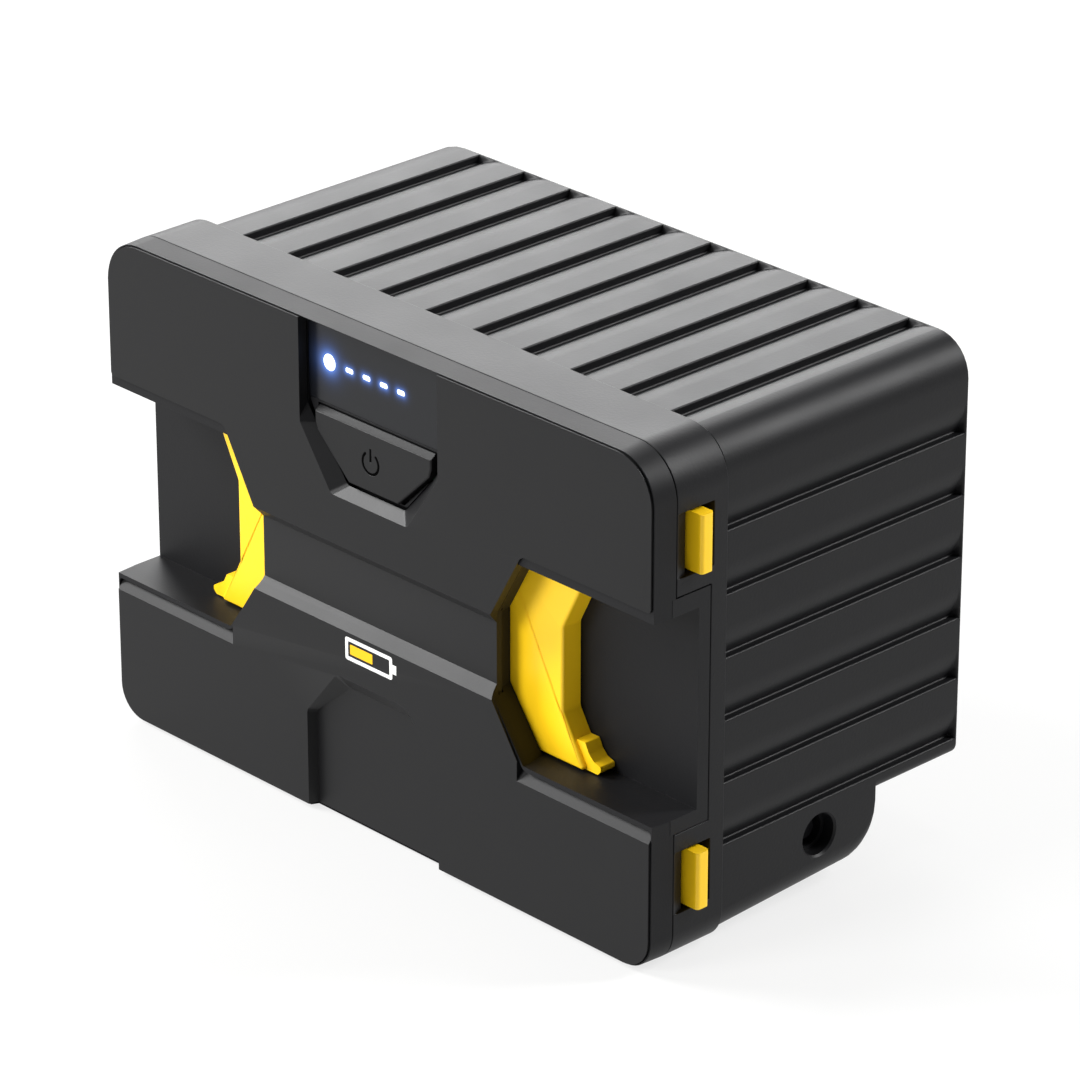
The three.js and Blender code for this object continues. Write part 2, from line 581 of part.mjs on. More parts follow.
// A series link between the posts of cells k and k + 1, on alternate rows.
function busbar(k) {
  const y = postY[k % 2];
  const half = BUSBAR.wide / 2;
  const bar = box([cellX(k) - half, y - half, BUSBAR.low], [cellX(k + 1) + half, y + half, BUSBAR.low + BUSBAR.thick]);
  const holes = [k, k + 1].map((n) => rod(2, [cellX(n), y, 0], 200, POST.r + GAP, 12));
  return cut(bar, ...holes);
}

// The end tab that takes the pack's positive or negative lead off the first or last cell.
function endTab(side) {
  const y = side < 0 ? postY[1] : postY[(CELLS - 1) % 2];
  const x = cellX(side < 0 ? 0 : CELLS - 1);
  const half = BUSBAR.wide / 2;
  const reach = x + side * (CELL.x / 2 + 3);
  const low = [Math.min(x - side * half, reach), y - half, BUSBAR.low];
  const high = [Math.max(x - side * half, reach), y + half, BUSBAR.low + BUSBAR.thick];
  return cut(box(low, high), rod(2, [x, y, 0], 200, POST.r + GAP, 12));
}

// ---------------------------------------------------------------- electronics and connector
function bmsBoard() {
  const { x, y, z, thick, deep, high } = BMS;
  const board = box([x, y, z], [x + thick, y + deep, z + high]);
  const holes = [[y + 4, z + 4], [y + deep - 4, z + high - 4]].map(([py, pz]) =>
    rod(0, [x - 5, py, pz], 20, 1.6, 8));
  return cut(board, ...holes);
}

// The switching transistors under one finned plate.
function bmsHeatSink() {
  const front = BMS.x + BMS.thick + GAP;
  const low = BMS.z + 40;
  const row = Array.from({ length: 5 }, (_, k) => {
    const y = BMS.y + 8 + k * 9;
    return box([front, y, low + 2], [front + 3.1, y + 6.5, low + 12]);
  });
  const plate = box([front + 3, BMS.y + 6, low], [front + 4.2, BMS.y + 52, low + 14]);
  const fins = Array.from({ length: 3 }, (_, k) =>
    box([front + 4, BMS.y + 6, low + 1.5 + k * 5], [front + 6.2, BMS.y + 52, low + 2.7 + k * 5]));
  return join(plate, ...row, ...fins);
}

// Standoffs on the housing's left wall that the board is screwed to.
const bmsPosts = () => join(
  box([-CAVITY_HALF - 1, BMS.y, BMS.z], [BMS.x - GAP, BMS.y + 8, BMS.z + 8]),
  box([-CAVITY_HALF - 1, BMS.y + BMS.deep - 8, BMS.z + BMS.high - 8],
    [BMS.x - GAP, BMS.y + BMS.deep, BMS.z + BMS.high]));

function fuse() {
  const body = box([40, 34, 9], [56, 42, 19]);
  return join(body, box([42, 36, 18], [44, 40, 23]), box([52, 36, 18], [54, 40, 23]));
}

// The socket in the rear wall: a block with four slots for the bay's blades.
function rearConnector() {
  const { half, inset, floor } = SLOT;
  const block = box([-PLUG.half, PLUG.front, PLUG.low], [PLUG.half, DEPTH - GAP, PLUG.high]);
  const slots = BLADE_X.map((x) =>
    box([x - half, PLUG.front + floor, PLUG.low + inset], [x + half, DEPTH + 1, PLUG.high - inset]));
  return cut(block, ...slots);
}

// A forked contact: two leaves that the bay's blade slides between, joined at the back.
function connectorContact() {
  const low = PLUG.low + LEAF.inset;
  const high = PLUG.high - LEAF.inset;
  const front = PLUG.front + SLOT.floor + GAP;
  const outer = LEAF.inner + LEAF.thick;
  const leaf = box([LEAF.inner, front, low], [outer, DEPTH - 2, high]);
  return join(twoSides(leaf), box([-outer, front, low], [outer, front + LEAF.back, high]));
}

const powerLead = (k) => tube([
  [BMS.x + 3.4, BMS.y + BMS.deep + 1, BMS.z + 8 + 8 * k],
  [BMS.x + 4, 94, BMS.z + 7 + 6 * k],
  [BMS.x + 18, 97.6, 34 + 6 * k],
  [-50, 98.8, 34 + 6 * k],
  [-PLUG.half - 0.5, 98.8, 34 + 6 * k],
], 1.4, 12);

// A thin cable from the control board over the cells' front to the battery management board.
const signalHarness = () => tube([
  [-24, BOARD.y + BOARD.thick + GAP, LIGHT_Z],
  [-24.6, 14, LIGHT_Z],
  [-29, 23, 118],
  [-44, 26.4, 116.5],
  [-64, 26.8, 107],
  [-76, 28, 98],
  [BMS.x + 3, 33, 96],
  [BMS.x + 3, 40, 96],
], 1, 20);

// ---------------------------------------------------------------- the assembly
function mesh(name, body, material) {
  const { vertProperties, triVerts } = body.getMesh();
  const geometry = new THREE.BufferGeometry();
  geometry.setAttribute("position", new THREE.BufferAttribute(vertProperties, 3));
  geometry.setIndex(new THREE.BufferAttribute(triVerts, 1));
  geometry.computeVertexNormals();
  const made = new THREE.Mesh(geometry, material);
  made.name = name;
  return made;
}

const housing = new THREE.Group();
housing.add(
  mesh("rear_housing", rearHousing(), paint.housing),
  mesh("front_bezel", frontBezel(), paint.housing),
  mesh("front_shell", frontShell(), paint.shell),
  mesh("front_cover", frontCover(), paint.plate),
  mesh("housing_seal", housingSeal(), paint.rubber),
);
function addScrews(name, solids) {
  solids.flatMap((body) => [body, mirrored(body)]).forEach((body, k) =>
    housing.add(mesh(`${name}_${k + 1}`, body, paint.steel)));
}
addScrews("shell_screw", SHELL_SCREWS.map(shellScrew));
addScrews("housing_screw", HOUSING_SCREWS.map(housingScrew));
addScrews("foot_screw", [footScrew()]);

const panel = new THREE.Group();
panel.add(
  mesh("status_window", statusWindow(), paint.lens),
  mesh("light_guide", lightGuide(), paint.light),
  mesh("power_button", powerButton(), paint.plate),
  mesh("button_ring", buttonRing(), paint.shell),
  mesh("control_board", controlBoard(), paint.board),
  mesh("tact_switch", tactSwitch(), paint.chip),
);

function releaseSide(side, keep) {
  const group = new THREE.Group();
  group.add(
    mesh(`${side}_grip`, keep(grip()), paint.yellow),
    mesh(`${side}_latch_bar`, keep(latchBar()), paint.yellow),
  );
  GRIP_SCREW_Z.forEach((z, k) => {
    const fastener = mesh(`${side}_grip_screw_${k + 1}`, keep(gripScrew()), paint.steel);
    fastener.position.z = z;
    group.add(fastener);
  });
  const start = SPINE_HALF + GAP + SPRING.wire;
  SPRING_Z.forEach((z, k) => {
    const coil = mesh(`${side}_spring_${k + 1}`, keep(spring().translate([start, 0, 0])), paint.steel);
    coil.position.set(0, (WEB.front + WEB.back) / 2 - 1, z);
    group.add(coil);
  });
  return group;
}

const power = new THREE.Group();
for (let k = 0; k < CELLS; k += 1) {
  const can = mesh(`cell_${k + 1}`, cell(), paint.aluminium);
  can.position.x = cellX(k);
  power.add(can);
}
for (let k = 0; k < CELLS - 1; k += 1) {
  const pad = mesh(`cell_spacer_${k + 1}`, cellSpacer(), paint.foam);
  pad.position.x = (cellX(k) + cellX(k + 1)) / 2;
  power.add(pad, mesh(`busbar_${k + 1}`, busbar(k), paint.nickel));
}
power.add(
  mesh("negative_tab", endTab(-1), paint.nickel),
  mesh("positive_tab", endTab(1), paint.nickel),
  mesh("busbar_holder", busbarHolder(), paint.white),
  mesh("cell_cradle", cellCradle(), paint.shell),
  mesh("bms_board", bmsBoard(), paint.board),
  mesh("bms_heat_sink", bmsHeatSink(), paint.aluminium),
  mesh("fuse", fuse(), paint.red),
  mesh("rear_connector", rearConnector(), paint.rubber),
  mesh("negative_lead", powerLead(0), paint.chip),
  mesh("positive_lead", powerLead(1), paint.red),
  mesh("signal_harness", signalHarness(), paint.chip),
);

BLADE_X.forEach((x, k) => {
  const contact = mesh(`connector_contact_${k + 1}`, connectorContact(), paint.copper);
  contact.position.x = x;
  power.add(contact);
});

const pack = new THREE.Group();
pack.position.y = -DEPTH / 2;
pack.add(housing, panel, releaseSide("right", (body) => body), releaseSide("left", mirrored), power);

export default pack;
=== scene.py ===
# %% [markdown]
# # A slide-in battery pack
# The pack is a black ribbed housing with a handled front. The CAD frame holds every size and
# every joint, and this file gives the pack the surfaces and finishes that the eye judges.
# We start by loading that frame.

# %% Load the frame
import math

import bmesh
import bpy
import numpy as np
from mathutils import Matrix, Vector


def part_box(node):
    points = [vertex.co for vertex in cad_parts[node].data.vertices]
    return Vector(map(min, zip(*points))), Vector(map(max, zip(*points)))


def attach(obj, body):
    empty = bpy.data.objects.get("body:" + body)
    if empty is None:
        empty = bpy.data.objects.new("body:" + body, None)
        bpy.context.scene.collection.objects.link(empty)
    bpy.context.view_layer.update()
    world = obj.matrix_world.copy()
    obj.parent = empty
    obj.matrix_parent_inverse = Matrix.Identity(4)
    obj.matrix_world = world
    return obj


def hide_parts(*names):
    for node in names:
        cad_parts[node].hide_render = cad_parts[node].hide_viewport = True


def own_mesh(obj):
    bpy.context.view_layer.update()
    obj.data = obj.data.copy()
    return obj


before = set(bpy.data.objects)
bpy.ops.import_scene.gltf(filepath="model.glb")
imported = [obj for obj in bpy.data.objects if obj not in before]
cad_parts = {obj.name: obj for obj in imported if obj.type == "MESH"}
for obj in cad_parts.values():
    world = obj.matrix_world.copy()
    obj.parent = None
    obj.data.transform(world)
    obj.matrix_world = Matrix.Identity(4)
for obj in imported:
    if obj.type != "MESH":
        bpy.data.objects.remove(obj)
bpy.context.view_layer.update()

MM = 0.001

# %% [markdown]
# ## Camera
# A product shot is taken from far away with a long lens, which keeps upright edges almost
# parallel. The camera stands to the right of the pack, a little above it.

# %% Camera
CAMERA_PLACE = (0.902635, -0.858659, 0.641633)
CAMERA_AIM = (-0.65577, 0.62647, -0.42130)
LENS_MM = 188.96

from mathutils import Vector

camera = bpy.data.objects.new("camera", bpy.data.cameras.new("camera"))
bpy.context.scene.collection.objects.link(camera)
bpy.context.scene.camera = camera
camera.location = CAMERA_PLACE
camera.rotation_euler = Vector(CAMERA_AIM).to_track_quat("-Z", "Y").to_euler()
camera.data.lens = LENS_MM
camera.data.sensor_width = 36
camera.data.clip_start = 0.05
camera.data.clip_end = 50
print("camera", round(Vector(CAMERA_PLACE).length, 3), "m from the origin")

# %% [markdown]
# ## Floor and light
# Black plastic shows almost nothing but its reflections, so it is lit by large pale surfaces
# instead of small bright lamps. Two softboxes stand behind the pack: at a grazing angle even
# dull plastic mirrors them, which draws the bright top. A key softbox at the front left picks
# out every chamfer that faces up, one in front brings out the yellow, and a weak one hangs
# overhead. The surroundings are dim, so that upright faces stay black. The floor is a sheet lit
# from below, as a product table is: it stays nearly white and takes almost no shadow.

# %% Floor, softboxes and surroundings
FLOOR_SIZE = 12


def linear(hex_colour):
    """sRGB hex to linear light: each channel c becomes c / 12.92 below 0.04045, and
    ((c + 0.055) / 1.055) to the power 2.4 above it."""
    channels = np.array([int(hex_colour[k:k + 2], 16) for k in (1, 3, 5)]) / 255
    low = channels / 12.92
    high = ((channels + 0.055) / 1.055) ** 2.4
    return (*np.where(channels <= 0.04045, low, high).tolist(), 1.0)


def add(tree, kind, inputs=None, **settings):
    """Adds a node with its settings, and sets or links each named input."""
    node = tree.nodes.new(kind)
    for key, value in settings.items():
        setattr(node, key, value)
    for socket, value in (inputs or {}).items():
        if isinstance(value, bpy.types.NodeSocket):
            tree.links.new(value, node.inputs[socket])
        else:
            node.inputs[socket].default_value = value
    return node


def softbox(name, place, aim, size, watts):
    """A rectangular area light at place that looks towards aim."""
    data = bpy.data.lights.new(name, "AREA")
    data.shape = "RECTANGLE"
    data.size, data.size_y = size
    data.energy = watts
    lamp = bpy.data.objects.new(name, data)
    lamp.location = place
    lamp.rotation_euler = (Vector(aim) - Vector(place)).to_track_quat("-Z", "Y").to_euler()
    bpy.context.scene.collection.objects.link(lamp)
    return lamp


floor_mesh = bpy.data.meshes.new("floor")
half_floor = FLOOR_SIZE / 2
floor_mesh.from_pydata(
    [(-half_floor, -half_floor, 0), (half_floor, -half_floor, 0),
     (half_floor, half_floor, 0), (-half_floor, half_floor, 0)], [], [(0, 1, 2, 3)])
floor = bpy.data.objects.new("floor", floor_mesh)
floor.location.z = -0.0003
bpy.context.scene.collection.objects.link(floor)

floor_paint = bpy.data.materials.new("pale_floor")
floor_paint.use_nodes = True
floor_shader = floor_paint.node_tree.nodes["Principled BSDF"]
floor_shader.inputs["Base Color"].default_value = linear("#6E6E6D")
floor_shader.inputs["Roughness"].default_value = 0.9
floor_shader.inputs["Specular IOR Level"].default_value = 0.1
floor_shader.inputs["Emission Color"].default_value = linear("#FFFFFF")
floor_shader.inputs["Emission Strength"].default_value = 0.75
floor_mesh.materials.append(floor_paint)

world = bpy.data.worlds.new("studio")
world.use_nodes = True
world.node_tree.nodes["Background"].inputs["Color"].default_value = linear("#F2F4F8")
world.node_tree.nodes["Background"].inputs["Strength"].default_value = 0.18
bpy.context.scene.world = world
bpy.context.scene.view_settings.view_transform = "Standard"

softbox("back_softbox", (-1.35, 1.2, 0.9), (0, 0, 0.1), (1.5, 1.0), 38)
softbox("key_softbox", (-1.44, -0.76, 1.16), (0, 0, 0.06), (0.7, 0.7), 52)
softbox("front_softbox", (-0.6, -1.9, 1.0), (0, 0, 0.06), (0.8, 0.8), 34)
softbox("top_softbox", (-0.1, 0.1, 1.9), (0, 0, 0.05), (0.9, 0.9), 8)
softbox("right_back_softbox", (0.95, 1.2, 1.15), (0, 0, 0.1), (0.35, 0.9), 34)
print("floor, surroundings and five softboxes")

# %% [markdown]
# ## Solids from arrays
# Every moulding here is a stack of rings: an outline drawn in the plane of the front, repeated
# at several depths with small changes, with quads between neighbouring rings. The ring at
# each end is filled. A Boolean cuts pockets and grooves from such a stack, and a fine Bevel
# gives the edges the radius of a mould.

# %% Rings, lofts and cuts


def corners(node):
    """Lowest and highest corner of a CAD node, in millimetres."""
    low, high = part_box(node)
    return np.array(low) / MM, np.array(high) / MM


cover_low, cover_high = corners("front_cover")
bezel_low, bezel_high = corners("front_bezel")
shell_low, shell_high = corners("front_shell")
body_low, body_high = corners("rear_housing")
FRONT = cover_low[1]


def fillet(points, radii, steps=6):
    """Rounds an outline's corners. On a corner whose sides meet at angle a, the arc starts
    r / tan(a / 2) along each side, and runs round a centre r / sin(a / 2) inside the corner."""
    points = np.asarray(points, float)
    radii = np.broadcast_to(np.asarray(radii, float), len(points))[:, None]
    back = np.roll(points, 1, axis=0) - points
    on = np.roll(points, -1, axis=0) - points
    back /= np.linalg.norm(back, axis=1, keepdims=True)
    on /= np.linalg.norm(on, axis=1, keepdims=True)
    angle = np.arccos(np.clip((back * on).sum(1, keepdims=True), -1, 1))
    middle = back + on
    middle /= np.maximum(np.linalg.norm(middle, axis=1, keepdims=True), 1e-9)
    centre = points + middle * radii / np.sin(angle / 2)
    first = points + back * radii / np.tan(angle / 2) - centre
    last = points + on * radii / np.tan(angle / 2) - centre
    sweep = math.pi - angle
    share = np.linspace(0, 1, steps + 1)[None, :, None]
    wide = np.maximum(np.sin(sweep), 1e-9)[:, None, :]
    arc = (np.sin((1 - share) * sweep[:, None, :]) * first[:, None, :]
           + np.sin(share * sweep[:, None, :]) * last[:, None, :]) / wide
    rounded = (centre[:, None, :] + arc).reshape(-1, 2)
    step = np.linalg.norm(rounded - np.roll(rounded, 1, axis=0), axis=1)
    return rounded[step > 1e-6]


def mirror_x(right):
    """Completes the right half of an outline, listed from bottom to top, by its mirror image."""
    right = np.asarray(right, float)
    return np.vstack([right, (right * (-1, 1))[::-1]])


def at_depth(outline, depth):
    """Places a front-view outline (x, z) at a depth behind the front face."""
    outline = np.asarray(outline, float)
    return np.column_stack([outline[:, 0], np.full(len(outline), FRONT + depth), outline[:, 1]])


def shape_object(name, vertices, faces):
    """A mesh object at the origin, from vertices in millimetres, with its faces outwards."""
    mesh = bpy.data.meshes.new(name)
    mesh.from_pydata((np.asarray(vertices) * MM).tolist(), [], faces)
    form = bmesh.new()
    form.from_mesh(mesh)
    bmesh.ops.recalc_face_normals(form, faces=form.faces)
    form.to_mesh(mesh)
    form.free()
    piece = bpy.data.objects.new(name, mesh)
    bpy.context.scene.collection.objects.link(piece)
    return piece


def loft(name, rings):
    """A closed solid through a stack of rings with equal counts: point j of ring i joins point
    j of ring i + 1 and its neighbour by a quad, and the end rings are filled."""
    rings = np.asarray(rings, float)
    rows, count, _ = rings.shape
    index = np.arange(rows * count).reshape(rows, count)
    beside = np.roll(index, -1, axis=1)
    quads = np.stack([index[:-1], beside[:-1], beside[1:], index[1:]], -1).reshape(-1, 4)
    faces = quads.tolist() + [index[0][::-1].tolist(), index[-1].tolist()]
    return shape_object(name, rings.reshape(-1, 3), faces)


def slab(name, outline, near, far):
    """A front-view outline pulled straight back between two depths."""
    return loft(name, [at_depth(outline, near), at_depth(outline, far)])


def block(name, low, high):
    """A box between two corners (x, depth, z), as a cutting tool."""
    outline = [(low[0], low[2]), (high[0], low[2]), (high[0], high[2]), (low[0], high[2])]
    return slab(name, outline, low[1], high[1])


def merged(name, parts):
    """One mesh object that holds several closed solids that don't touch."""
    form = bmesh.new()
    for part in parts:
        form.from_mesh(part.data)
        bpy.data.objects.remove(part)
    mesh = bpy.data.meshes.new(name)
    form.to_mesh(mesh)
    form.free()
    piece = bpy.data.objects.new(name, mesh)
    bpy.context.scene.collection.objects.link(piece)
    return piece


def carve(piece, tool, operation="DIFFERENCE"):
    """Applies an exact Boolean with tool to piece, keeps the result as piece's mesh, and
    removes the tool."""
    step = piece.modifiers.new("carve", "BOOLEAN")
    step.operation = operation
    step.solver = "EXACT"
    step.object = tool
    bpy.context.view_layer.update()
    graph = bpy.context.evaluated_depsgraph_get()
    mesh = bpy.data.meshes.new_from_object(piece.evaluated_get(graph))
    piece.modifiers.clear()
    old = piece.data
    piece.data = mesh
    bpy.data.meshes.remove(old)
    bpy.data.objects.remove(tool)
    return piece


def tidy(piece):
    """Merges doubles and removes the edges that a Boolean leaves across flat faces."""
    form = bmesh.new()
    form.from_mesh(piece.data)
    bmesh.ops.remove_doubles(form, verts=form.verts, dist=0.004 * MM)
    bmesh.ops.dissolve_limit(form, angle_limit=math.radians(0.4), verts=form.verts, edges=form.edges,
                             delimit=set())
    form.to_mesh(piece.data)
    form.free()
    return piece


SHARP_EDGE = 50


def soften(piece, width, segments=2, angle=28):
    """Rounds every edge that turns by more than angle degrees, with a bevel width millimetres
    wide. Edges that still turn by more than SHARP_EDGE keep a crease. At the others the largest
    face leads the normal, so that flat faces look flat."""
    edge = piece.modifiers.new("mould_radius", "BEVEL")
    edge.width = width * MM
    edge.segments = segments
    edge.limit_method = "ANGLE"
    edge.angle_limit = math.radians(angle)
    edge.miter_outer = "MITER_ARC"
    edge.use_clamp_overlap = True
    bpy.context.view_layer.update()
    graph = bpy.context.evaluated_depsgraph_get()
    mesh = bpy.data.meshes.new_from_object(piece.evaluated_get(graph))
    piece.modifiers.clear()
    piece.data = mesh
    mesh.shade_smooth()
    mesh.set_sharp_from_angle(angle=math.radians(SHARP_EDGE))
    shade = piece.modifiers.new("flat_shading", "WEIGHTED_NORMAL")
    shade.keep_sharp = True
    shade.weight = 90
    return piece


print("front face at y =", round(FRONT, 2), "mm")

# %% [markdown]
# ## Finishes
# Almost everything outside is injection-moulded ABS. Its mould was spark-eroded, which leaves
# a fine random grain that spreads highlights, and handling polishes it a little in patches.
# Each plastic is one function with its own colour, roughness and grain size.

# %% Moulded plastics


def new_material(name):
    """An empty node material with its shader and an Object coordinate to hang patterns on."""
    paint = bpy.data.materials.new(name)
    paint.use_nodes = True
    tree = paint.node_tree
    return paint, tree, tree.nodes["Principled BSDF"], add(tree, "ShaderNodeTexCoord").outputs["Object"]


def per_metre(size_mm):
    """The Scale of a noise whose features are size_mm wide, on coordinates in metres."""
    return 1 / (size_mm * MM)


def moulded(name, colour, roughness, grain=0.7, relief=0.02, edge_highlight=0.25, mirror=0.2):
    """Moulded plastic. Its grain is a noise of grain mm, relief mm high. Its roughness runs from
    0.97 to 1.04 times the given one over 18 mm patches. Its sharpest edges carry a painted
    highlight, lighter by the share given for it, and mirror is its Specular IOR Level."""
    paint, tree, shader, place = new_material(name)
    spark = add(tree, "ShaderNodeTexNoise", {"Vector": place, "Scale": per_metre(grain), "Detail": 3.0})
    patch = add(tree, "ShaderNodeTexNoise", {"Vector": place, "Scale": per_metre(18), "Detail": 4.0})
    gloss = add(tree, "ShaderNodeMapRange", {
        "Value": patch.outputs["Fac"], "From Min": 0.3, "From Max": 0.7,
        "To Min": roughness * 0.97, "To Max": roughness * 1.04})
    # Painted highlight: the sharpest edges, found by Pointiness, are mixed towards a paler colour.
    edge = add(tree, "ShaderNodeMapRange", {
        "Value": add(tree, "ShaderNodeNewGeometry").outputs["Pointiness"],
        "From Min": 0.62, "From Max": 0.75, "To Min": 0.0, "To Max": edge_highlight})
    base = np.array(linear(colour))
    pale = (*(base[:3] * 1.6 + 0.03).tolist(), 1.0)
    mottled = add(tree, "ShaderNodeMixRGB", {
        "Fac": patch.outputs["Fac"], "Color1": (*(base[:3] * 0.9).tolist(), 1.0),
        "Color2": (*(base[:3] * 1.1).tolist(), 1.0)})
    shade = add(tree, "ShaderNodeMixRGB", {
        "Fac": edge.outputs["Result"], "Color1": mottled.outputs["Color"], "Color2": pale})
    bump = add(tree, "ShaderNodeBump", {
        "Height": spark.outputs["Fac"], "Strength": 1.0, "Distance": relief * MM})
    for socket, source in (("Base Color", shade.outputs["Color"]), ("Roughness", gloss.outputs["Result"]),
                           ("Normal", bump.outputs["Normal"])):
        tree.links.new(source, shader.inputs[socket])
    shader.inputs["Specular IOR Level"].default_value = mirror
    return paint


housing_abs = moulded("black_grained_abs", "#101012", 0.46, relief=0.03, edge_highlight=0.12)
shell_abs = moulded("black_fine_grained_abs", "#101012", 0.52, grain=0.6, edge_highlight=0.12)
plate_abs = moulded("dark_grey_satin_abs", "#141415", 0.4, grain=0.5, relief=0.012, edge_highlight=0.12)
yellow_acetal = moulded("yellow_acetal", "#FFCE14", 0.36, grain=0.8, relief=0.02, edge_highlight=0.05, mirror=0.4)
epdm_rubber = moulded("black_epdm_rubber", "#1D1D1E", 0.8, grain=0.4, relief=0.015, edge_highlight=0.1)
white_polycarbonate = moulded("white_polycarbonate", "#E4E2DA", 0.5, grain=0.5, relief=0.01, edge_highlight=0.0)
red_nylon = moulded("red_nylon", "#A82226", 0.45, grain=0.5, relief=0.01, edge_highlight=0.1)
foam_pad = moulded("grey_silicone_foam", "#55575B", 0.95, grain=0.9, relief=0.15, edge_highlight=0.0)
board_mask = moulded("green_solder_mask", "#1B5433", 0.32, grain=1.2, relief=0.008, edge_highlight=0.2)
# A near-black film that paints the shade inside the engraved power symbol.
engraving_shade_paint = moulded("painted_engraving_shade", "#030303", 0.9, grain=0.3, relief=0.004, edge_highlight=0.0, mirror=0.02)
print(len(bpy.data.materials), "materials so far")

# %% [markdown]
# Metals inside the pack are sheet and wire: deep-drawn aluminium cans, rolled nickel strip,
# stamped copper contacts and zinc-plated screws. Drawing and rolling leave fine lines in one
# direction, which are a noise stretched forty times along that axis.

# %% Metals


def drawn_metal(name, colour, roughness, line=0.25, stretch=(1, 1, 0.025)):
    """Metal with drawing lines: a noise of line mm, drawn out along one axis by stretch, takes
    the roughness from 0.8 to 1.25 times the given one and raises the surface by 0.006 mm."""
    paint, tree, shader, place = new_material(name)
    aim = add(tree, "ShaderNodeMapping", {"Vector": place, "Scale": stretch})
    lines = add(tree, "ShaderNodeTexNoise", {
        "Vector": aim.outputs["Vector"], "Scale": per_metre(line), "Detail": 4.0})
    gloss = add(tree, "ShaderNodeMapRange", {
        "Value": lines.outputs["Fac"], "From Min": 0.3, "From Max": 0.7,
        "To Min": roughness * 0.8, "To Max": roughness * 1.25})
    bump = add(tree, "ShaderNodeBump", {
        "Height": lines.outputs["Fac"], "Strength": 1.0, "Distance": 0.006 * MM})
    tree.links.new(gloss.outputs["Result"], shader.inputs["Roughness"])
    tree.links.new(bump.outputs["Normal"], shader.inputs["Normal"])
    shader.inputs["Base Color"].default_value = linear(colour)
    shader.inputs["Metallic"].default_value = 1.0
    return paint


# Near-black steel for the foot screws, which paints the shade in the deep bores they sit in.
bore_shade_steel = drawn_metal("dark_steel_bore_shade", "#1C1C1E", 0.5)
zinc_steel = drawn_metal("zinc_plated_steel", "#B4B7BB", 0.34)
spring_steel = drawn_metal("spring_steel", "#8E9094", 0.3)
drawn_aluminium = drawn_metal("drawn_aluminium", "#C6C9CD", 0.38, line=0.4)
extruded_aluminium = drawn_metal("extruded_aluminium", "#B2B5B9", 0.42, stretch=(1, 0.025, 1))
nickel_strip = drawn_metal("rolled_nickel", "#BDB9AE", 0.3, stretch=(0.025, 1, 1))
stamped_copper = drawn_metal("stamped_copper", "#B4704A", 0.32)
print(len(bpy.data.materials), "materials with the metals")

# %% [markdown]
# The status lights sit behind a strip of smoked acrylic. Each light is a clear polycarbonate bar
# that an LED shines into from behind. Round each light the strip carries a painted blue glow,
# emission that stands in for the glare of a bright light. The painted glow halves in 0.4 mm
# beside a bar and in 0.8 mm beside the larger round light.

# %% Smoked acrylic and light guides
LENS_LOW, LENS_HIGH = corners("status_window")
GUIDE_LOW, GUIDE_HIGH = corners("light_guide")
LIGHT_Z = (GUIDE_LOW[2] + GUIDE_HIGH[2]) / 2
BAR_HALF = (1.3, 0.62)
BAR_PITCH = 5.95
BAR_X = GUIDE_HIGH[0] - 2.15 - BAR_PITCH * np.arange(3, -1, -1)
ROUND_X = GUIDE_LOW[0] + 2.5
ROUND_RADIUS = 2.1
BAR_PAINTED_GLOW = 0.55
ROUND_PAINTED_GLOW = 1.2
PAINTED_GLOW_GAIN = 1.7


def smoked_acrylic(name):
    """Dark acrylic with a painted glow round each light, in place of glare: the emission is
    exp(-(d / reach)) of the distance d past the light's edge, summed over the lights."""
    paint, tree, shader, place = new_material(name)
    shader.inputs["Base Color"].default_value = linear("#121316")
    shader.inputs["Specular IOR Level"].default_value = 0.24
    shader.inputs["Emission Color"].default_value = linear("#4468B4")
    total = None
    lights = [(x, BAR_HALF[0] - BAR_HALF[1], BAR_HALF[1], BAR_PAINTED_GLOW) for x in BAR_X]
    lights.append((ROUND_X, 0, ROUND_RADIUS, ROUND_PAINTED_GLOW))
    for centre, half, radius, reach in lights:
        shifted = add(tree, "ShaderNodeVectorMath", {
            0: place, 1: (centre * MM, 0, LIGHT_Z * MM)}, operation="SUBTRACT")
        parts = add(tree, "ShaderNodeSeparateXYZ", {"Vector": shifted.outputs["Vector"]})
        across = add(tree, "ShaderNodeMath", {0: parts.outputs["X"]}, operation="ABSOLUTE")
        past = add(tree, "ShaderNodeMath", {0: across.outputs[0], 1: half * MM}, operation="SUBTRACT")
        clear = add(tree, "ShaderNodeMath", {0: past.outputs[0], 1: 0.0}, operation="MAXIMUM")
        flat = add(tree, "ShaderNodeCombineXYZ", {"X": clear.outputs[0], "Z": parts.outputs["Z"]})
        away = add(tree, "ShaderNodeVectorMath", {0: flat.outputs["Vector"]}, operation="LENGTH")
        beyond = add(tree, "ShaderNodeMath", {
            0: away.outputs["Value"], 1: radius * MM}, operation="SUBTRACT")
        fall = add(tree, "ShaderNodeMath", {
            0: beyond.outputs[0], 1: -1 / (reach * MM)}, operation="MULTIPLY")
        glow = add(tree, "ShaderNodeMath", {0: fall.outputs[0]}, operation="EXPONENT")
        total = glow if total is None else add(
            tree, "ShaderNodeMath", {0: total.outputs[0], 1: glow.outputs[0]}, operation="ADD")
    # Painted glow: emission on the acrylic round the lights stands in for glare.
    gain = add(tree, "ShaderNodeMath", {0: total.outputs[0], 1: PAINTED_GLOW_GAIN}, operation="MULTIPLY")
    tree.links.new(gain.outputs[0], shader.inputs["Emission Strength"])
    haze = add(tree, "ShaderNodeTexNoise", {"Vector": place, "Scale": per_metre(6), "Detail": 3.0})
    gloss = add(tree, "ShaderNodeMapRange", {
        "Value": haze.outputs["Fac"], "To Min": 0.16, "To Max": 0.3})
    tree.links.new(gloss.outputs["Result"], shader.inputs["Roughness"])
    return paint


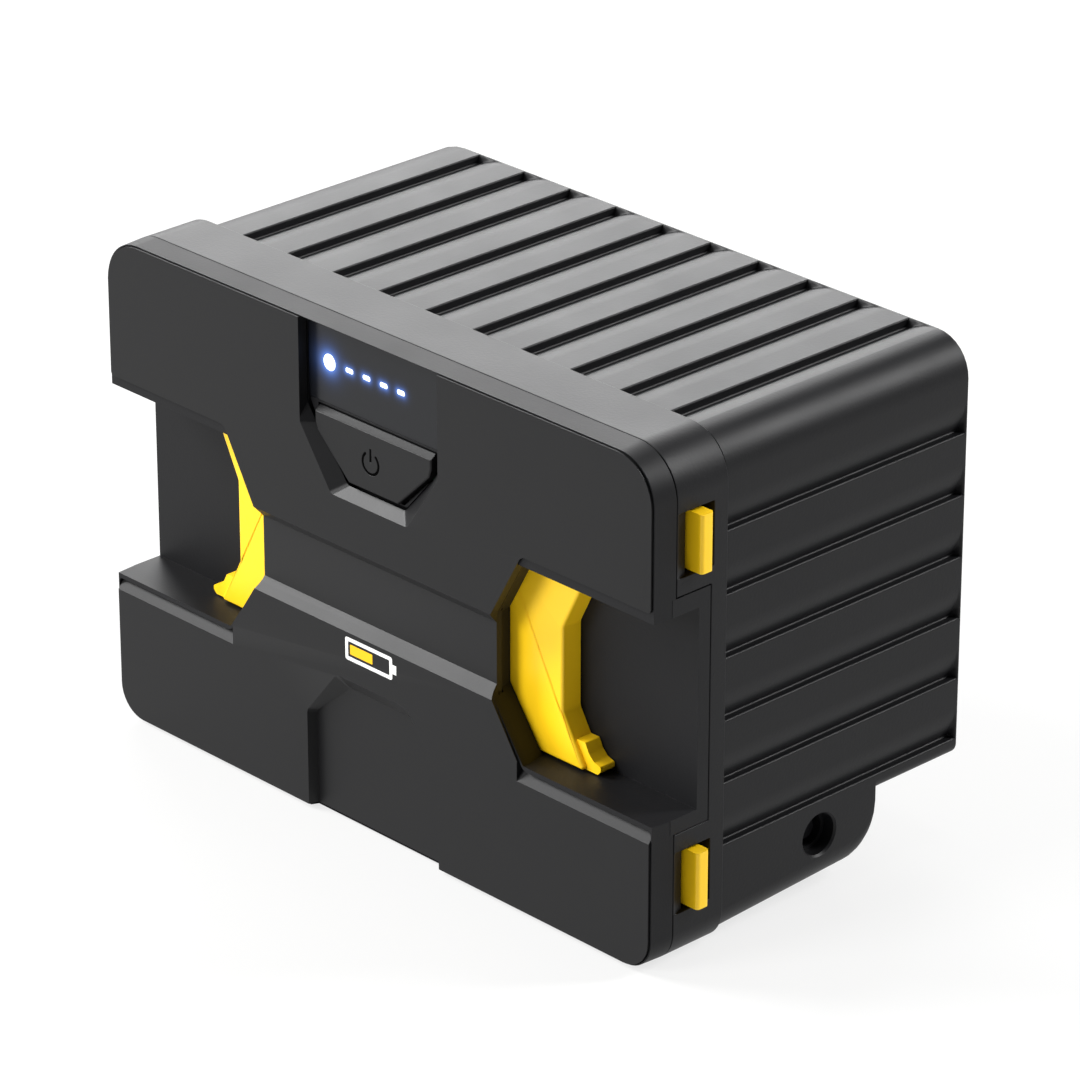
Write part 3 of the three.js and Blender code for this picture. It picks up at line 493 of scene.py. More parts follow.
def lit_polycarbonate(name):
    """Clear polycarbonate lit from behind: it glows evenly, with a slight mottling of 0.8 mm
    from the diffuser."""
    paint, tree, shader, place = new_material(name)
    mottle = add(tree, "ShaderNodeTexNoise", {"Vector": place, "Scale": per_metre(0.8)})
    power = add(tree, "ShaderNodeMapRange", {
        "Value": mottle.outputs["Fac"], "To Min": 1.0, "To Max": 1.6})
    tree.links.new(power.outputs["Result"], shader.inputs["Emission Strength"])
    shader.inputs["Base Color"].default_value = linear("#E9EFFF")
    shader.inputs["Roughness"].default_value = 0.3
    shader.inputs["Emission Color"].default_value = linear("#EAF1FF")
    return paint


acrylic = smoked_acrylic("smoked_acrylic")
lit_guide = lit_polycarbonate("lit_polycarbonate")
print("light bars at x =", np.round(BAR_X, 2), "mm, round light at", ROUND_X)

# %% [markdown]
# ## The front plate
# The plate is one I-shaped moulding: a bar above, a bar below and a waist between the two finger
# recesses. A stack of two rings makes the slab. A thicker back at the waist and behind the shield
# keeps the wall even where the face dips, and tapered tools then press the pocket, the shield and
# the waist into it.

# %% The plate's outline and the tools that shape it
BAR_TOP = 37.6
BAR_LOW = 92.8
SHOULDER = 51.9
WAIST_HALF = 41
WAIST_BEND = (54, 73.5)
WAIST_LEVEL = (52.6, 74.5)
WAIST_DIP = 2.6
PLATE_THICK = 2.6
PLATE_DEEP = cover_high[1] - FRONT
POCKET_DEEP = LENS_LOW[1] - FRONT
FAR = 200
TOP_ROUND = 11
LOW_ROUND = 8
SEAT_CLEARANCE = 0.14


def front_outline(grow=0.0, top_round=TOP_ROUND, low_round=LOW_ROUND):
    """The I outline, grown sideways by grow mm: right half from bottom to top, mirrored."""
    half, low, high = cover_high[0] + grow, cover_low[2] - grow, cover_high[2] + grow
    right = [(half, low), (half, BAR_TOP), (SHOULDER, BAR_TOP), (WAIST_HALF, WAIST_BEND[0]),
             (WAIST_HALF, WAIST_BEND[1]), (SHOULDER, BAR_LOW), (half, BAR_LOW), (half, high)]
    radii = [low_round, 1.0, 2.5, 5, 5, 2.5, 1.0, top_round]
    return fillet(mirror_x(right), radii + radii[::-1], steps=9)


def funnel(name, near, far, start, end):
    """A tapered tool between two outlines with the same number of points: near holds at the
    front face and far at depth end, and start is a depth in front of the face."""
    near, far = np.asarray(near, float), np.asarray(far, float)
    outside = near + (near - far) * (0 - start) / end
    return loft(name, [at_depth(outside, start), at_depth(near, 0), at_depth(far, end)])


def side_bar(name, profile, left, right):
    """A side profile (depth, z) pulled across from left to right."""
    profile = np.asarray(profile, float)
    rings = [np.column_stack([np.full(len(profile), x), FRONT + profile[:, 0], profile[:, 1]])
             for x in (left, right)]
    return loft(name, rings)


def waist_tool():
    """The dip of the waist: ramps 3 mm high at 49 degrees, with a level floor between them."""
    low, high = WAIST_LEVEL
    ramp = 3
    rise = ramp / WAIST_DIP
    return side_bar("waist_tool", [(-1, low - rise), (WAIST_DIP, low + ramp), (WAIST_DIP, high - ramp),
                                   (-1, high + rise)], -FAR, FAR)


def lip_tool(side):
    """The long chamfer on the lower bar's top edge, on one side of the waist."""
    ends = sorted((side * (SHOULDER - 1.5), side * FAR))
    return side_bar("lip_tool", [(-1, BAR_TOP - 4.3), (2.3, BAR_TOP), (2.3, BAR_TOP + 2),
                                 (-1, BAR_TOP + 2)], *ends)


def pocket_tool():
    """The pocket: upright sides, and a foot whose three walls slope in like a funnel."""
    near = mirror_x([(13.3, 87.2), (23.9, 102.4), (24, 103.6), (24, FAR)])
    far = mirror_x([(9.6, 90), (20.6, 102.5), (24, 107.4), (24, FAR)])
    radii = [1.8, 0.6, 0.3, 0.3, 0.3, 0.3, 0.6, 1.8]
    return funnel("pocket_tool", fillet(near, radii, 4), fillet(far, radii, 4), -1, POCKET_DEEP)


def shield_tool():
    """The shield recess, open at the bottom, with walls that lean in towards the top."""
    near = fillet(mirror_x([(23.3, -5), (23.3, 26.5), (12.4, 39.8)]), [0.4, 2.2, 2.2, 2.2, 2.2, 0.4])
    far = fillet(mirror_x([(22.5, -5), (22.5, 25.8), (10.4, 36.1)]), [0.4, 1.6, 1.6, 1.6, 1.6, 0.4])
    return funnel("shield_tool", near, far, -1, WAIST_DIP)


outline = front_outline()
print("plate outline:", len(outline), "points,", PLATE_DEEP, "mm deep; pocket", POCKET_DEEP, "mm")

# %% Build the plate
shield_back = mirror_x([(24.9, cover_low[2]), (24.9, 27.5), (13.4, 41.4)])

plate = slab("front_plate", outline, 0, PLATE_THICK)
plate_back = merged("plate_back", [
    block("waist_back", (-WAIST_HALF + 0.02, PLATE_THICK - 0.2, WAIST_LEVEL[0] - 2),
          (WAIST_HALF - 0.02, PLATE_DEEP, WAIST_LEVEL[1] + 2)),
    slab("shield_back", shield_back, PLATE_THICK - 0.2, PLATE_DEEP)])
carve(plate, plate_back, "UNION")
carve(plate, waist_tool())
carve(plate, merged("lip_tools", [lip_tool(-1), lip_tool(1)]))
carve(plate, pocket_tool())
carve(plate, shield_tool())
tidy(plate)
soften(plate, 0.45, segments=3)


def install(piece, finish, body, slot, *nodes):
    """Gives a finished piece its material and its body, and hides the CAD nodes that it
    stands for. The slot is not used."""
    piece.data.materials.clear()
    piece.data.materials.append(finish)
    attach(piece, body)
    if nodes:
        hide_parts(*nodes)
    print(piece.name, "stands for", ", ".join(nodes) or "detail", "-", len(piece.data.polygons), "faces")
    return piece


install(plate, plate_abs, "pack", "plate", "front_cover")

# %% [markdown]
# ## The front shell
# Behind the plate, one moulding makes the band round the front, the seat that the plate lies in,
# and the back, top and bottom walls of the two finger recesses. Its outer outline has long
# arcs at the corners, and everything inside is cut away, as a core would in the mould.

# %% The shell's outline and cuts
SHELL_FRONT = shell_low[1] - FRONT
BAND_BACK = 7
LINER_BACK = 18.1
RECESS_BACK = 14.5
RECESS_LOW, RECESS_HIGH = 38.8, 90.1
LINER_LOW, LINER_HIGH = 34.9, 94.5
CORNER_TOP, CORNER_LOW = 12, 9
SEAT_GAP = 0.3
SKIN = 1.6
RECESS_LEAN = 2.6
CORE = {"side": 5, "rim": 4, "liner": 2.5, "shield": 27.2, "column": 36, "ends": (34, 96.9)}


def rounded_outline(half, low, high, low_round, top_round, steps=12):
    """A rectangle about x = 0 with one radius at its lower corners and one at its upper ones."""
    right = [(half, low), (half, high)]
    return fillet(mirror_x(right), [low_round, top_round, top_round, low_round], steps)


def recess_tool(side):
    """The finger recess beside the waist. It starts at the plate's waist, and it leans inwards
    by RECESS_LEAN on the way back."""
    near = [(WAIST_HALF, WAIST_BEND[0]), (SHOULDER, RECESS_LOW), (FAR, RECESS_LOW),
            (FAR, RECESS_HIGH), (SHOULDER - 1.6, RECESS_HIGH), (WAIST_HALF, WAIST_BEND[1])]
    near = np.asarray(near)
    far = near - (near[:, :1] < FAR) * np.array([RECESS_LEAN, 0])
    near, far = near * (side, 1), far * (side, 1)
    return loft("recess_tool", [at_depth(near, -1), at_depth(near, PLATE_THICK),
                                at_depth(far, RECESS_BACK)])


band_outline = rounded_outline(shell_high[0], shell_low[2], shell_high[2], CORNER_LOW, CORNER_TOP)
BAND_DRAFT = 0.5
narrow_band = rounded_outline(shell_high[0] - BAND_DRAFT, shell_low[2] + BAND_DRAFT,
                              shell_high[2] - BAND_DRAFT, CORNER_LOW - 1, CORNER_TOP - 1)
shell = loft("front_moulding", [at_depth(narrow_band, SHELL_FRONT), at_depth(band_outline, BAND_BACK)])
carve(shell, block("liner", (-shell_high[0], BAND_BACK - 1, LINER_LOW),
                   (shell_high[0], LINER_BACK, LINER_HIGH)), "UNION")
seat = slab("seat", front_outline(SEAT_CLEARANCE), -1, PLATE_THICK + SEAT_GAP)
carve(seat, block("deep_seat", (-WAIST_HALF - SEAT_GAP, 0, WAIST_LEVEL[0] - 2.3),
                  (WAIST_HALF + SEAT_GAP, PLATE_DEEP + SEAT_GAP, WAIST_LEVEL[1] + 2.3)), "UNION")
carve(seat, slab("shield_seat", mirror_x([(25.2, 0.5), (25.2, 27.7), (13.7, 41.7)]), 0,
                 PLATE_DEEP + SEAT_GAP), "UNION")
carve(shell, seat)
carve(shell, shield_tool())
hollow_front = PLATE_THICK + SEAT_GAP + SKIN
inside = shell_high[0] - CORE["side"]
below_liner, above_liner = LINER_LOW - CORE["liner"], LINER_HIGH + CORE["liner"]
column_low, column_high = CORE["ends"]
carve(shell, merged("hollows", [
    block("upper", (-inside, hollow_front, above_liner), (inside, FAR, shell_high[2] - CORE["rim"])),
    block("lower_right", (CORE["shield"], hollow_front, CORE["rim"]), (inside, FAR, below_liner)),
    block("lower_left", (-inside, hollow_front, CORE["rim"]), (-CORE["shield"], FAR, below_liner)),
    block("column", (-CORE["column"], PLATE_DEEP + SEAT_GAP + SKIN, column_low),
          (CORE["column"], RECESS_BACK + SEAT_GAP, column_high))]))
carve(shell, block("finger_way", (-FAR, BAND_BACK + 1, RECESS_LOW), (FAR, RECESS_BACK, RECESS_HIGH)))
carve(shell, slab("window_hole", mirror_x([(13.6, 87.5), (24, 102.4), (24, LENS_HIGH[2] + 0.3)]), 0,
                  hollow_front + 1))
carve(shell, merged("recesses", [recess_tool(-1), recess_tool(1)]))
tidy(shell)
soften(shell, 0.35)
install(shell, shell_abs, "pack", "shell", "front_shell")

# %% [markdown]
# ## The bezel
# The frame behind the shell is the part that slides along the bay. It is a ring 16 mm deep with
# a flange at its back, and it steps back round the finger recesses so that a finger has room.

# %% The bezel ring
bezel_near, bezel_far = bezel_low[1] - FRONT, bezel_high[1] - FRONT
BEZEL_WALL = 2.6
FLANGE = 3
NOTCH = {"reach": 8, "front": 11, "back": 19, "ramp": 1.2}
TONGUE_Z = (21.8, 107.2)
STEP_BACK = 18.4
OPENING = {"half": 76, "low": 20, "high": 104}
WIRE_WAY = {"half": 50, "low": 90, "high": 122}


def notch_tool(side, z):
    """The hole that a tongue comes out of, from above, with a ramp that leads in from the front."""
    half = bezel_high[0]
    depth = half - BEZEL_WALL - 1
    plan = np.array([(depth, NOTCH["front"]), (half - NOTCH["ramp"], NOTCH["front"]), (half, bezel_near),
                     (FAR, bezel_near), (FAR, NOTCH["back"]), (depth, NOTCH["back"])])
    rings = [np.column_stack([side * plan[:, 0], FRONT + plan[:, 1], np.full(len(plan), height)])
             for height in (z - NOTCH["reach"], z + NOTCH["reach"])]
    return loft("notch", rings)


bezel = slab("bezel_ring", rounded_outline(bezel_high[0], bezel_low[2], bezel_high[2], CORNER_LOW,
                                           CORNER_TOP), bezel_near, bezel_far)
carve(bezel, slab("bore", rounded_outline(bezel_high[0] - BEZEL_WALL, bezel_low[2] + BEZEL_WALL,
                                          bezel_high[2] - BEZEL_WALL, CORNER_LOW - 2, CORNER_TOP - 2),
                  0, bezel_far - FLANGE))
carve(bezel, block("step", (-FAR, 0, LINER_LOW - SEAT_GAP), (FAR, STEP_BACK, LINER_HIGH + SEAT_GAP)))
carve(bezel, merged("notches", [notch_tool(side, z) for side in (-1, 1) for z in TONGUE_Z]))
for word, hole in (("opening", OPENING), ("wire_way", WIRE_WAY)):
    carve(bezel, block(word, (-hole["half"], 0, hole["low"]), (hole["half"], FAR, hole["high"])))
tidy(bezel)
soften(bezel, 0.4)
install(bezel, housing_abs, "pack", "housing", "front_bezel")

# %% [markdown]
# ## The ribbed rear housing
# This is one deep box moulding. A box could be extruded and its grooves cut, but then every
# groove would end in a knife edge. Here a single closed sheet is carried along a path instead:
# from the front rim, back over the outside, over the rear wall, into the hole for the connector,
# and forward again along the inside. Each ring of the sheet is the section of the housing there.

# %% Section of the housing
BODY_HALF, BODY_TOP = body_high[0], body_high[2]
BODY_FRONT, BODY_BACK = body_low[1] - FRONT, body_high[1] - FRONT
BODY_ROUND = 10
BODY_LOW = 21.2
BODY_LOW_ROUND = 3
CORE_ROUND = 5.1
REAR_EDGE = 0.6
WALL = 2.4
KEY_ROUND = 17
SIDE_RIB = {"first": 105.8, "pitch": 16, "count": 6, "deep": 2.2, "ramp": 5,
            "crest": 14, "crest_by_corner": 6}
TOP_RIB = {"first": -71.7, "pitch": 16.34, "count": 10, "deep": 2.5, "ramp": 5.2,
           "crest": 18, "crest_by_corner": 15}
RIB_END = 103.2
FOOT_LOW, FOOT_BACK, FOOT_ROUND = 3, 75.6, 8


def ribbed_section():
    """Half-open list of the section's corners (x, z) with their radii, from the lower right
    corner up the right side, over the top to the left, and down. A side groove has a level
    ledge below and a ramp above; a top groove has an upright wall at its left and ramps up to
    the right. Each groove brings three corners, and a large radius makes its ramp one long
    curve. The crest next to a rounded corner gets a smaller one, so that their arcs don't meet."""
    side = SIDE_RIB["first"] - SIDE_RIB["pitch"] * np.arange(SIDE_RIB["count"])[::-1]
    side_x = BODY_HALF - np.array([0, SIDE_RIB["deep"], 0])
    side_z = side[:, None] + np.array([0, 0.15, SIDE_RIB["ramp"]])
    right = np.column_stack([np.tile(side_x, len(side)), side_z.ravel()])
    top = TOP_RIB["first"] + TOP_RIB["pitch"] * np.arange(TOP_RIB["count"])[::-1]
    top_x = top[:, None] + np.array([TOP_RIB["ramp"], 0.15, 0])
    top_z = BODY_TOP - np.array([0, TOP_RIB["deep"], 0])
    over = np.column_stack([top_x.ravel(), np.tile(top_z, len(top))])
    left = (right * (-1, 1))[::-1]
    side_round = np.tile([0.45, 0.4, SIDE_RIB["crest"]], len(side))
    left_round = side_round[::-1].copy()
    left_round[0] = SIDE_RIB["crest_by_corner"]
    top_round = np.tile([TOP_RIB["crest"], 0.5, 0.4], len(top))
    top_round[0] = TOP_RIB["crest_by_corner"]
    points = np.vstack([right, [(BODY_HALF, BODY_TOP)], over, [(-BODY_HALF, BODY_TOP)], left])
    radii = np.concatenate([side_round, [BODY_ROUND], top_round, [KEY_ROUND], left_round])
    return points, radii


def fillet_kept(points, radii, steps):
    """As fillet, but an open run: keeps every arc point, so that rings match one to one."""
    side_low = BODY_LOW + BODY_LOW_ROUND
    points = np.vstack([[(points[0][0], side_low)], points, [(points[-1][0], side_low)]])
    back, on = points[:-2] - points[1:-1], points[2:] - points[1:-1]
    back /= np.linalg.norm(back, axis=1, keepdims=True)
    on /= np.linalg.norm(on, axis=1, keepdims=True)
    angle = np.arccos(np.clip((back * on).sum(1), -1, 1))[:, None]
    middle = (back + on) / np.linalg.norm(back + on, axis=1, keepdims=True)
    radii = radii[:, None]
    centre = points[1:-1] + middle * radii / np.sin(angle / 2)
    first = points[1:-1] + back * radii / np.tan(angle / 2) - centre
    last = points[1:-1] + on * radii / np.tan(angle / 2) - centre
    sweep = (math.pi - angle)[:, None, :]
    share = np.linspace(0, 1, steps + 1)[None, :, None]
    arc = (np.sin((1 - share) * sweep) * first[:, None, :] + np.sin(share * sweep) * last[:, None, :])
    return (centre[:, None, :] + arc / np.sin(sweep)).reshape(-1, 2)


ribbed = fillet_kept(*ribbed_section(), steps=8)


def upper_round(ring):
    """Radius of the upper corner on each point's own side: the left one is larger."""
    return np.where(ring[:, 0] < 0, KEY_ROUND, BODY_ROUND)


corner_z = BODY_TOP - upper_round(ribbed)
in_corner = (np.abs(ribbed[:, 0]) > BODY_HALF - upper_round(ribbed)) & (ribbed[:, 1] > corner_z)
on_top = ~in_corner & (ribbed[:, 1] > corner_z)
smooth = ribbed.copy()
smooth[on_top, 1] = BODY_TOP
on_side = ~in_corner & ~on_top
smooth[on_side, 0] = np.sign(smooth[on_side, 0]) * BODY_HALF
print("section:", len(ribbed), "points;", on_top.sum(), "of them on top")


def section(low, low_round, sink=0.0, inset=0.0):
    """One ring: the smooth section plus sink (0 to 1) of the grooves, moved inwards by inset mm
    along the outline's normal, and closed below by two arcs of low_round at height low."""
    turn = np.linspace(0, math.pi / 2, 9)
    arc = np.column_stack([np.sin(turn), -np.cos(turn)])
    below = np.array([BODY_HALF - low_round, low + low_round]) + arc * low_round
    upper = smooth + sink * (ribbed - smooth)
    ring = np.vstack([below, upper, (below * (-1, 1))[::-1]])
    anchor = ring.copy()
    corner = BODY_TOP - upper_round(ring)
    reach = np.where(ring[:, 1] > corner, upper_round(ring), low_round)
    anchor[:, 0] = np.clip(ring[:, 0], -(BODY_HALF - reach), BODY_HALF - reach)
    anchor[:, 1] = np.clip(ring[:, 1], low + low_round, corner)
    normal = ring - anchor
    length = np.maximum(np.linalg.norm(normal, axis=1, keepdims=True), 1e-9)
    return ring - inset * normal / length


PLUG_LOW, PLUG_HIGH = corners("rear_connector")


def plug_hole(grow):
    """The section squeezed onto the connector's outline, grown by grow mm."""
    ring = section(BODY_LOW, BODY_LOW_ROUND)
    centre_z = (PLUG_LOW[2] + PLUG_HIGH[2]) / 2
    scale_x = (PLUG_HIGH[0] + grow) / BODY_HALF
    scale_z = ((PLUG_HIGH[2] - PLUG_LOW[2]) / 2 + grow) / ((BODY_TOP - BODY_LOW) / 2)
    middle = (BODY_TOP + BODY_LOW) / 2
    return np.column_stack([ring[:, 0] * scale_x, centre_z + (ring[:, 1] - middle) * scale_z])


def foot_low(depth):
    """Height of the foot's underside, which rises evenly from the bezel to its back."""
    return FOOT_LOW * depth / (FOOT_BACK - FOOT_ROUND)


def housing_rings():
    """The path of the sheet: (depth, ring) from the front rim round and back to it."""
    rings = [(BODY_FRONT, section(foot_low(BODY_FRONT), FOOT_ROUND, 1))]
    for depth in (34, 45, 56, FOOT_BACK - FOOT_ROUND):
        rings.append((depth, section(foot_low(depth), FOOT_ROUND, 1)))
    for turn in np.linspace(0, math.pi / 2, 8)[1:]:
        depth = FOOT_BACK - FOOT_ROUND * (1 - math.sin(turn))
        low = FOOT_LOW + FOOT_ROUND * (1 - math.cos(turn))
        rings.append((depth, section(low, FOOT_ROUND, 1)))
    rings.append((FOOT_BACK, section(BODY_LOW, BODY_LOW_ROUND, 1)))
    rings += [(depth, section(BODY_LOW, BODY_LOW_ROUND, 1)) for depth in (84, 92, RIB_END - 0.7)]
    for share in (0.1, 0.35, 0.65, 0.9):
        rings.append((RIB_END - 0.6 + 0.6 * share, section(BODY_LOW, BODY_LOW_ROUND, 1 - share)))
    rings.append((RIB_END + 0.1, section(BODY_LOW, BODY_LOW_ROUND)))
    for turn in np.linspace(0, math.pi / 2, 5):
        rings.append((BODY_BACK - REAR_EDGE * (1 - math.sin(turn)),
                      section(BODY_LOW, BODY_LOW_ROUND, inset=REAR_EDGE * (1 - math.cos(turn)))))
    rings += [(BODY_BACK, plug_hole(0.3)), (BODY_BACK - WALL, plug_hole(0.3))]
    core = TOP_RIB["deep"] + WALL
    rings.append((BODY_BACK - WALL, section(BODY_LOW, CORE_ROUND, inset=core)))
    rings.append((FOOT_BACK - WALL - 1, section(BODY_LOW, CORE_ROUND, inset=core)))
    rings.append((FOOT_BACK - WALL - 1, section(FOOT_LOW, FOOT_ROUND, inset=core)))
    rings.append((BODY_FRONT, section(FOOT_LOW, FOOT_ROUND, inset=core)))
    return rings


def carried_sheet(name, rings):
    """A closed tube of quads: ring i joins ring i + 1, and the last ring joins the first."""
    stack = np.array([at_depth(ring, depth) for depth, ring in rings])
    rows, count, _ = stack.shape
    index = np.arange(rows * count).reshape(rows, count)
    below, beside = np.roll(index, -1, axis=0), np.roll(index, -1, axis=1)
    across = np.roll(below, -1, axis=1)
    quads = np.stack([index, beside, across, below], -1).reshape(-1, 4)
    return shape_object(name, stack.reshape(-1, 3), quads.tolist())


# %% [markdown]
# Low on each side the housing has a boss with a deep counterbore. The screw that holds the cell
# cradle sits at the bottom of it. The boss is joined to the sheet first and then bored out with
# a stepped, turned tool.

# %% Build the housing
SCREW_LOW, SCREW_HIGH = corners("foot_screw_1")
BORE_Y = (SCREW_LOW[1] + SCREW_HIGH[1]) / 2 - FRONT
BORE_Z = (SCREW_LOW[2] + SCREW_HIGH[2]) / 2
BORE_FLOOR = 88
HEAD_DEEP = 2.6
BOSS_RADIUS, SHANK_RADIUS, HEAD_RADIUS, WELL_RADIUS, MOUTH_RADIUS = 7.5, 1.6, 4.2, 5.3, 6.3


def turned(name, profile, side, steps=40):
    """A solid of revolution about the screw's axis: each (x, radius) of the profile is a ring."""
    angle = np.linspace(0, 2 * math.pi, steps, endpoint=False)
    rings = [np.column_stack([np.full(steps, side * x), FRONT + BORE_Y + radius * np.cos(angle),
                              BORE_Z + radius * np.sin(angle)]) for x, radius in profile]
    return loft(name, rings)


housing = carried_sheet("ribbed_housing", housing_rings())
form = bmesh.new()
form.from_mesh(housing.data)
bmesh.ops.remove_doubles(form, verts=form.verts, dist=0.01 * MM)
bmesh.ops.recalc_face_normals(form, faces=form.faces)
form.to_mesh(housing.data)
form.free()
boss = [(84, BOSS_RADIUS), (BODY_HALF - 2.6, BOSS_RADIUS)]
carve(housing, merged("bosses", [turned("boss", boss, s) for s in (-1, 1)]), "UNION")
bore = [(60, SHANK_RADIUS), (BORE_FLOOR, SHANK_RADIUS), (BORE_FLOOR, HEAD_RADIUS),
        (BORE_FLOOR + HEAD_DEEP, HEAD_RADIUS), (BORE_FLOOR + HEAD_DEEP, WELL_RADIUS),
        (BODY_HALF - 0.5, WELL_RADIUS), (BODY_HALF + 0.5, MOUTH_RADIUS), (FAR, MOUTH_RADIUS)]
carve(housing, merged("bores", [turned("bore", bore, s) for s in (-1, 1)]))
housing.data.shade_smooth()
housing.data.set_sharp_from_angle(angle=math.radians(32))
flat = housing.modifiers.new("flat_shading", "WEIGHTED_NORMAL")
flat.keep_sharp = True
install(housing, housing_abs, "pack", "housing", "rear_housing")

# %% [markdown]
# The parts inside and the screws keep their CAD solids, and only get the finish of the real
# part: drawn cans, rolled strip, solder mask and plated steel. The foot screws get a near-black
# steel instead, which paints the shade inside their bores.

# %% Finishes of the parts inside and of the screws
carried = {
    "housing_seal": epdm_rubber, "signal_harness": epdm_rubber, "negative_lead": epdm_rubber,
    "positive_lead": red_nylon, "tact_switch": epdm_rubber, "control_board": board_mask,
    "bms_board": board_mask, "bms_heat_sink": extruded_aluminium, "fuse": red_nylon,
    "busbar_holder": white_polycarbonate, "cell_cradle": shell_abs,
    "negative_tab": nickel_strip, "positive_tab": nickel_strip}
groups = {"cell_spacer_": foam_pad, "cell_": drawn_aluminium, "busbar_": nickel_strip,
          "connector_contact_": stamped_copper}
for name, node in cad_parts.items():
    finish = carried.get(name)
    if finish is None and "_screw_" in name:
        # Painted shade: the foot screws are near-black so that their bores look dark.
        finish = bore_shade_steel if name.startswith("foot") else zinc_steel
    if finish is None:
        finish = next((paint for start, paint in groups.items() if name.startswith(start)), None)
    if finish is not None:
        node.data.materials.clear()
        node.data.materials.append(finish)
print("CAD nodes with a finish:", sum(bool(n.data.materials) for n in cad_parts.values()))

# %% [markdown]
# ## Status window, lights and power button
# The strip of smoked acrylic fills the top of the pocket, and the light bars come through it to
# just under its face. The button has the shape of the pocket's foot and stands 1.6 mm proud of the
# floor. Its top edge is a chamfer, and a power symbol is engraved in it. A black film in the
# engraving paints the shade there.

# %% Window and light bars
window_deep = LENS_LOW[1] - FRONT
window_right = [(LENS_HIGH[0], LENS_LOW[2]), (LENS_HIGH[0], LENS_HIGH[2])]
window = slab("status_strip", mirror_x(window_right), window_deep, LENS_HIGH[1] - FRONT)


def bar_outline(centre, half_wide, half_high):
    """A light bar's rounded outline."""
    corners_of_bar = [(centre + half_wide, LIGHT_Z - half_high), (centre + half_wide, LIGHT_Z + half_high),
                      (centre - half_wide, LIGHT_Z + half_high), (centre - half_wide, LIGHT_Z - half_high)]
    return fillet(corners_of_bar, 0.5, steps=5)


def disc_outline(centre, radius, steps=32):
    """A circle about the round light."""
    angle = np.linspace(0, 2 * math.pi, steps, endpoint=False)
    return np.column_stack([centre + radius * np.cos(angle), LIGHT_Z + radius * np.sin(angle)])


def light_solids(grow, near, far):
    """The four bars and the round light, grown by grow mm, between two depths."""
    shapes = [bar_outline(x, BAR_HALF[0] + grow, BAR_HALF[1] + grow) for x in BAR_X]
    shapes.append(disc_outline(ROUND_X, ROUND_RADIUS + grow))
    return [slab("light", shape, near, far) for shape in shapes]


carve(window, merged("light_holes", light_solids(0.03, window_deep - 1, window_deep + 5)))
tidy(window)
soften(window, 0.15)
install(window, acrylic, "pack", "lens", "status_window")

guide_deep = GUIDE_HIGH[1] - FRONT
guide = merged("light_bars", light_solids(0, window_deep + 0.06, guide_deep))
RAIL_THICK = 0.8
rail = block("rail", (GUIDE_LOW[0], guide_deep - RAIL_THICK, GUIDE_LOW[2]),
             (GUIDE_HIGH[0], guide_deep, GUIDE_HIGH[2]))
carve(guide, rail, "UNION")
soften(tidy(guide), 0.1)
install(guide, lit_guide, "pack", "light", "light_guide")

# %% Button, with its chamfer and its engraved symbol
BUTTON_FACE = corners("power_button")[0][1] - FRONT
BUTTON_TOP = 106.6
BUTTON_BACK = 107.3
SYMBOL = {"x": -0.7, "z": 98.6, "radius": 2.75, "gap": 35, "deep": 0.45, "line": 0.66}
SHADE_FILM = {"front": 0.1, "back": 0.43, "line": 0.6}


def button_outline(inset, top):
    """The button's outline: a flat foot, two slopes and upright sides."""
    right = np.array([(8.6, 91.1), (19.4, 101.4), (20.2, 103.6), (20.2, top)])
    right = right + np.array([(-0.45, 1), (-0.75, 0.6), (-1, 0.2), (-1, 0)]) * inset
    return mirror_x(right)


def power_symbol(near, far, line):
    """A ring open at the top and an upright bar in the opening, with strokes line mm wide: the
    ring's outline runs out along its outer arc and back along its inner one."""
    start, end = np.radians([90 + SYMBOL["gap"], 450 - SYMBOL["gap"]])
    sweep = np.linspace(start, end, 40)
    outer, inner = SYMBOL["radius"] + line / 2, SYMBOL["radius"] - line / 2
    round_way = np.column_stack([np.cos(sweep), np.sin(sweep)])
    ring = np.vstack([round_way * outer, round_way[::-1] * inner]) + (SYMBOL["x"], SYMBOL["z"])
    half = line / 2
    stroke = [(SYMBOL["x"] + half, SYMBOL["z"] + 0.3), (SYMBOL["x"] + half, SYMBOL["z"] + 3.7),
              (SYMBOL["x"] - half, SYMBOL["z"] + 3.7), (SYMBOL["x"] - half, SYMBOL["z"] + 0.3)]
    return merged("symbol", [slab("ring", ring, near, far), slab("stroke", stroke, near, far)])


button = loft("power_key", [
    at_depth(button_outline(0.35, BUTTON_TOP - 0.5), BUTTON_FACE),
    at_depth(button_outline(0, BUTTON_TOP - 0.35), BUTTON_FACE + 0.3),
    at_depth(button_outline(0, BUTTON_BACK), BUTTON_FACE + 1.7),
    at_depth(button_outline(0, BUTTON_BACK), BUTTON_FACE + 3)])
carve(button, power_symbol(BUTTON_FACE - 1, BUTTON_FACE + SYMBOL["deep"], SYMBOL["line"]))
tidy(button)
soften(button, 0.12)
install(button, plate_abs, "power_button", "plate", "power_button")
# Painted shade: a black film inside the engraving darkens it as shade would.
shade_film = power_symbol(BUTTON_FACE + SHADE_FILM["front"], BUTTON_FACE + SHADE_FILM["back"], SHADE_FILM["line"])
shade_film.name = "symbol_shade_film"
install(shade_film, engraving_shade_paint, "power_button", "rubber")

ring_low, ring_high = corners("button_ring")
ring_front, ring_back = ring_low[1] - FRONT, ring_high[1] - FRONT
key_hole = mirror_x([(9, 90.5), (20, 101.3), (20.8, 103.4), (20.8, BUTTON_BACK + 0.25)])
collar = slab("button_collar", mirror_x([(9.9, 90.1), (20.9, 102.6), (23.7, 107.6), (23.7, 108.2)]),
              ring_front, ring_back)
carve(collar, slab("key_hole", key_hole, 0, 9))
soften(tidy(collar), 0.15)
install(collar, shell_abs, "pack", "shell", "button_ring")

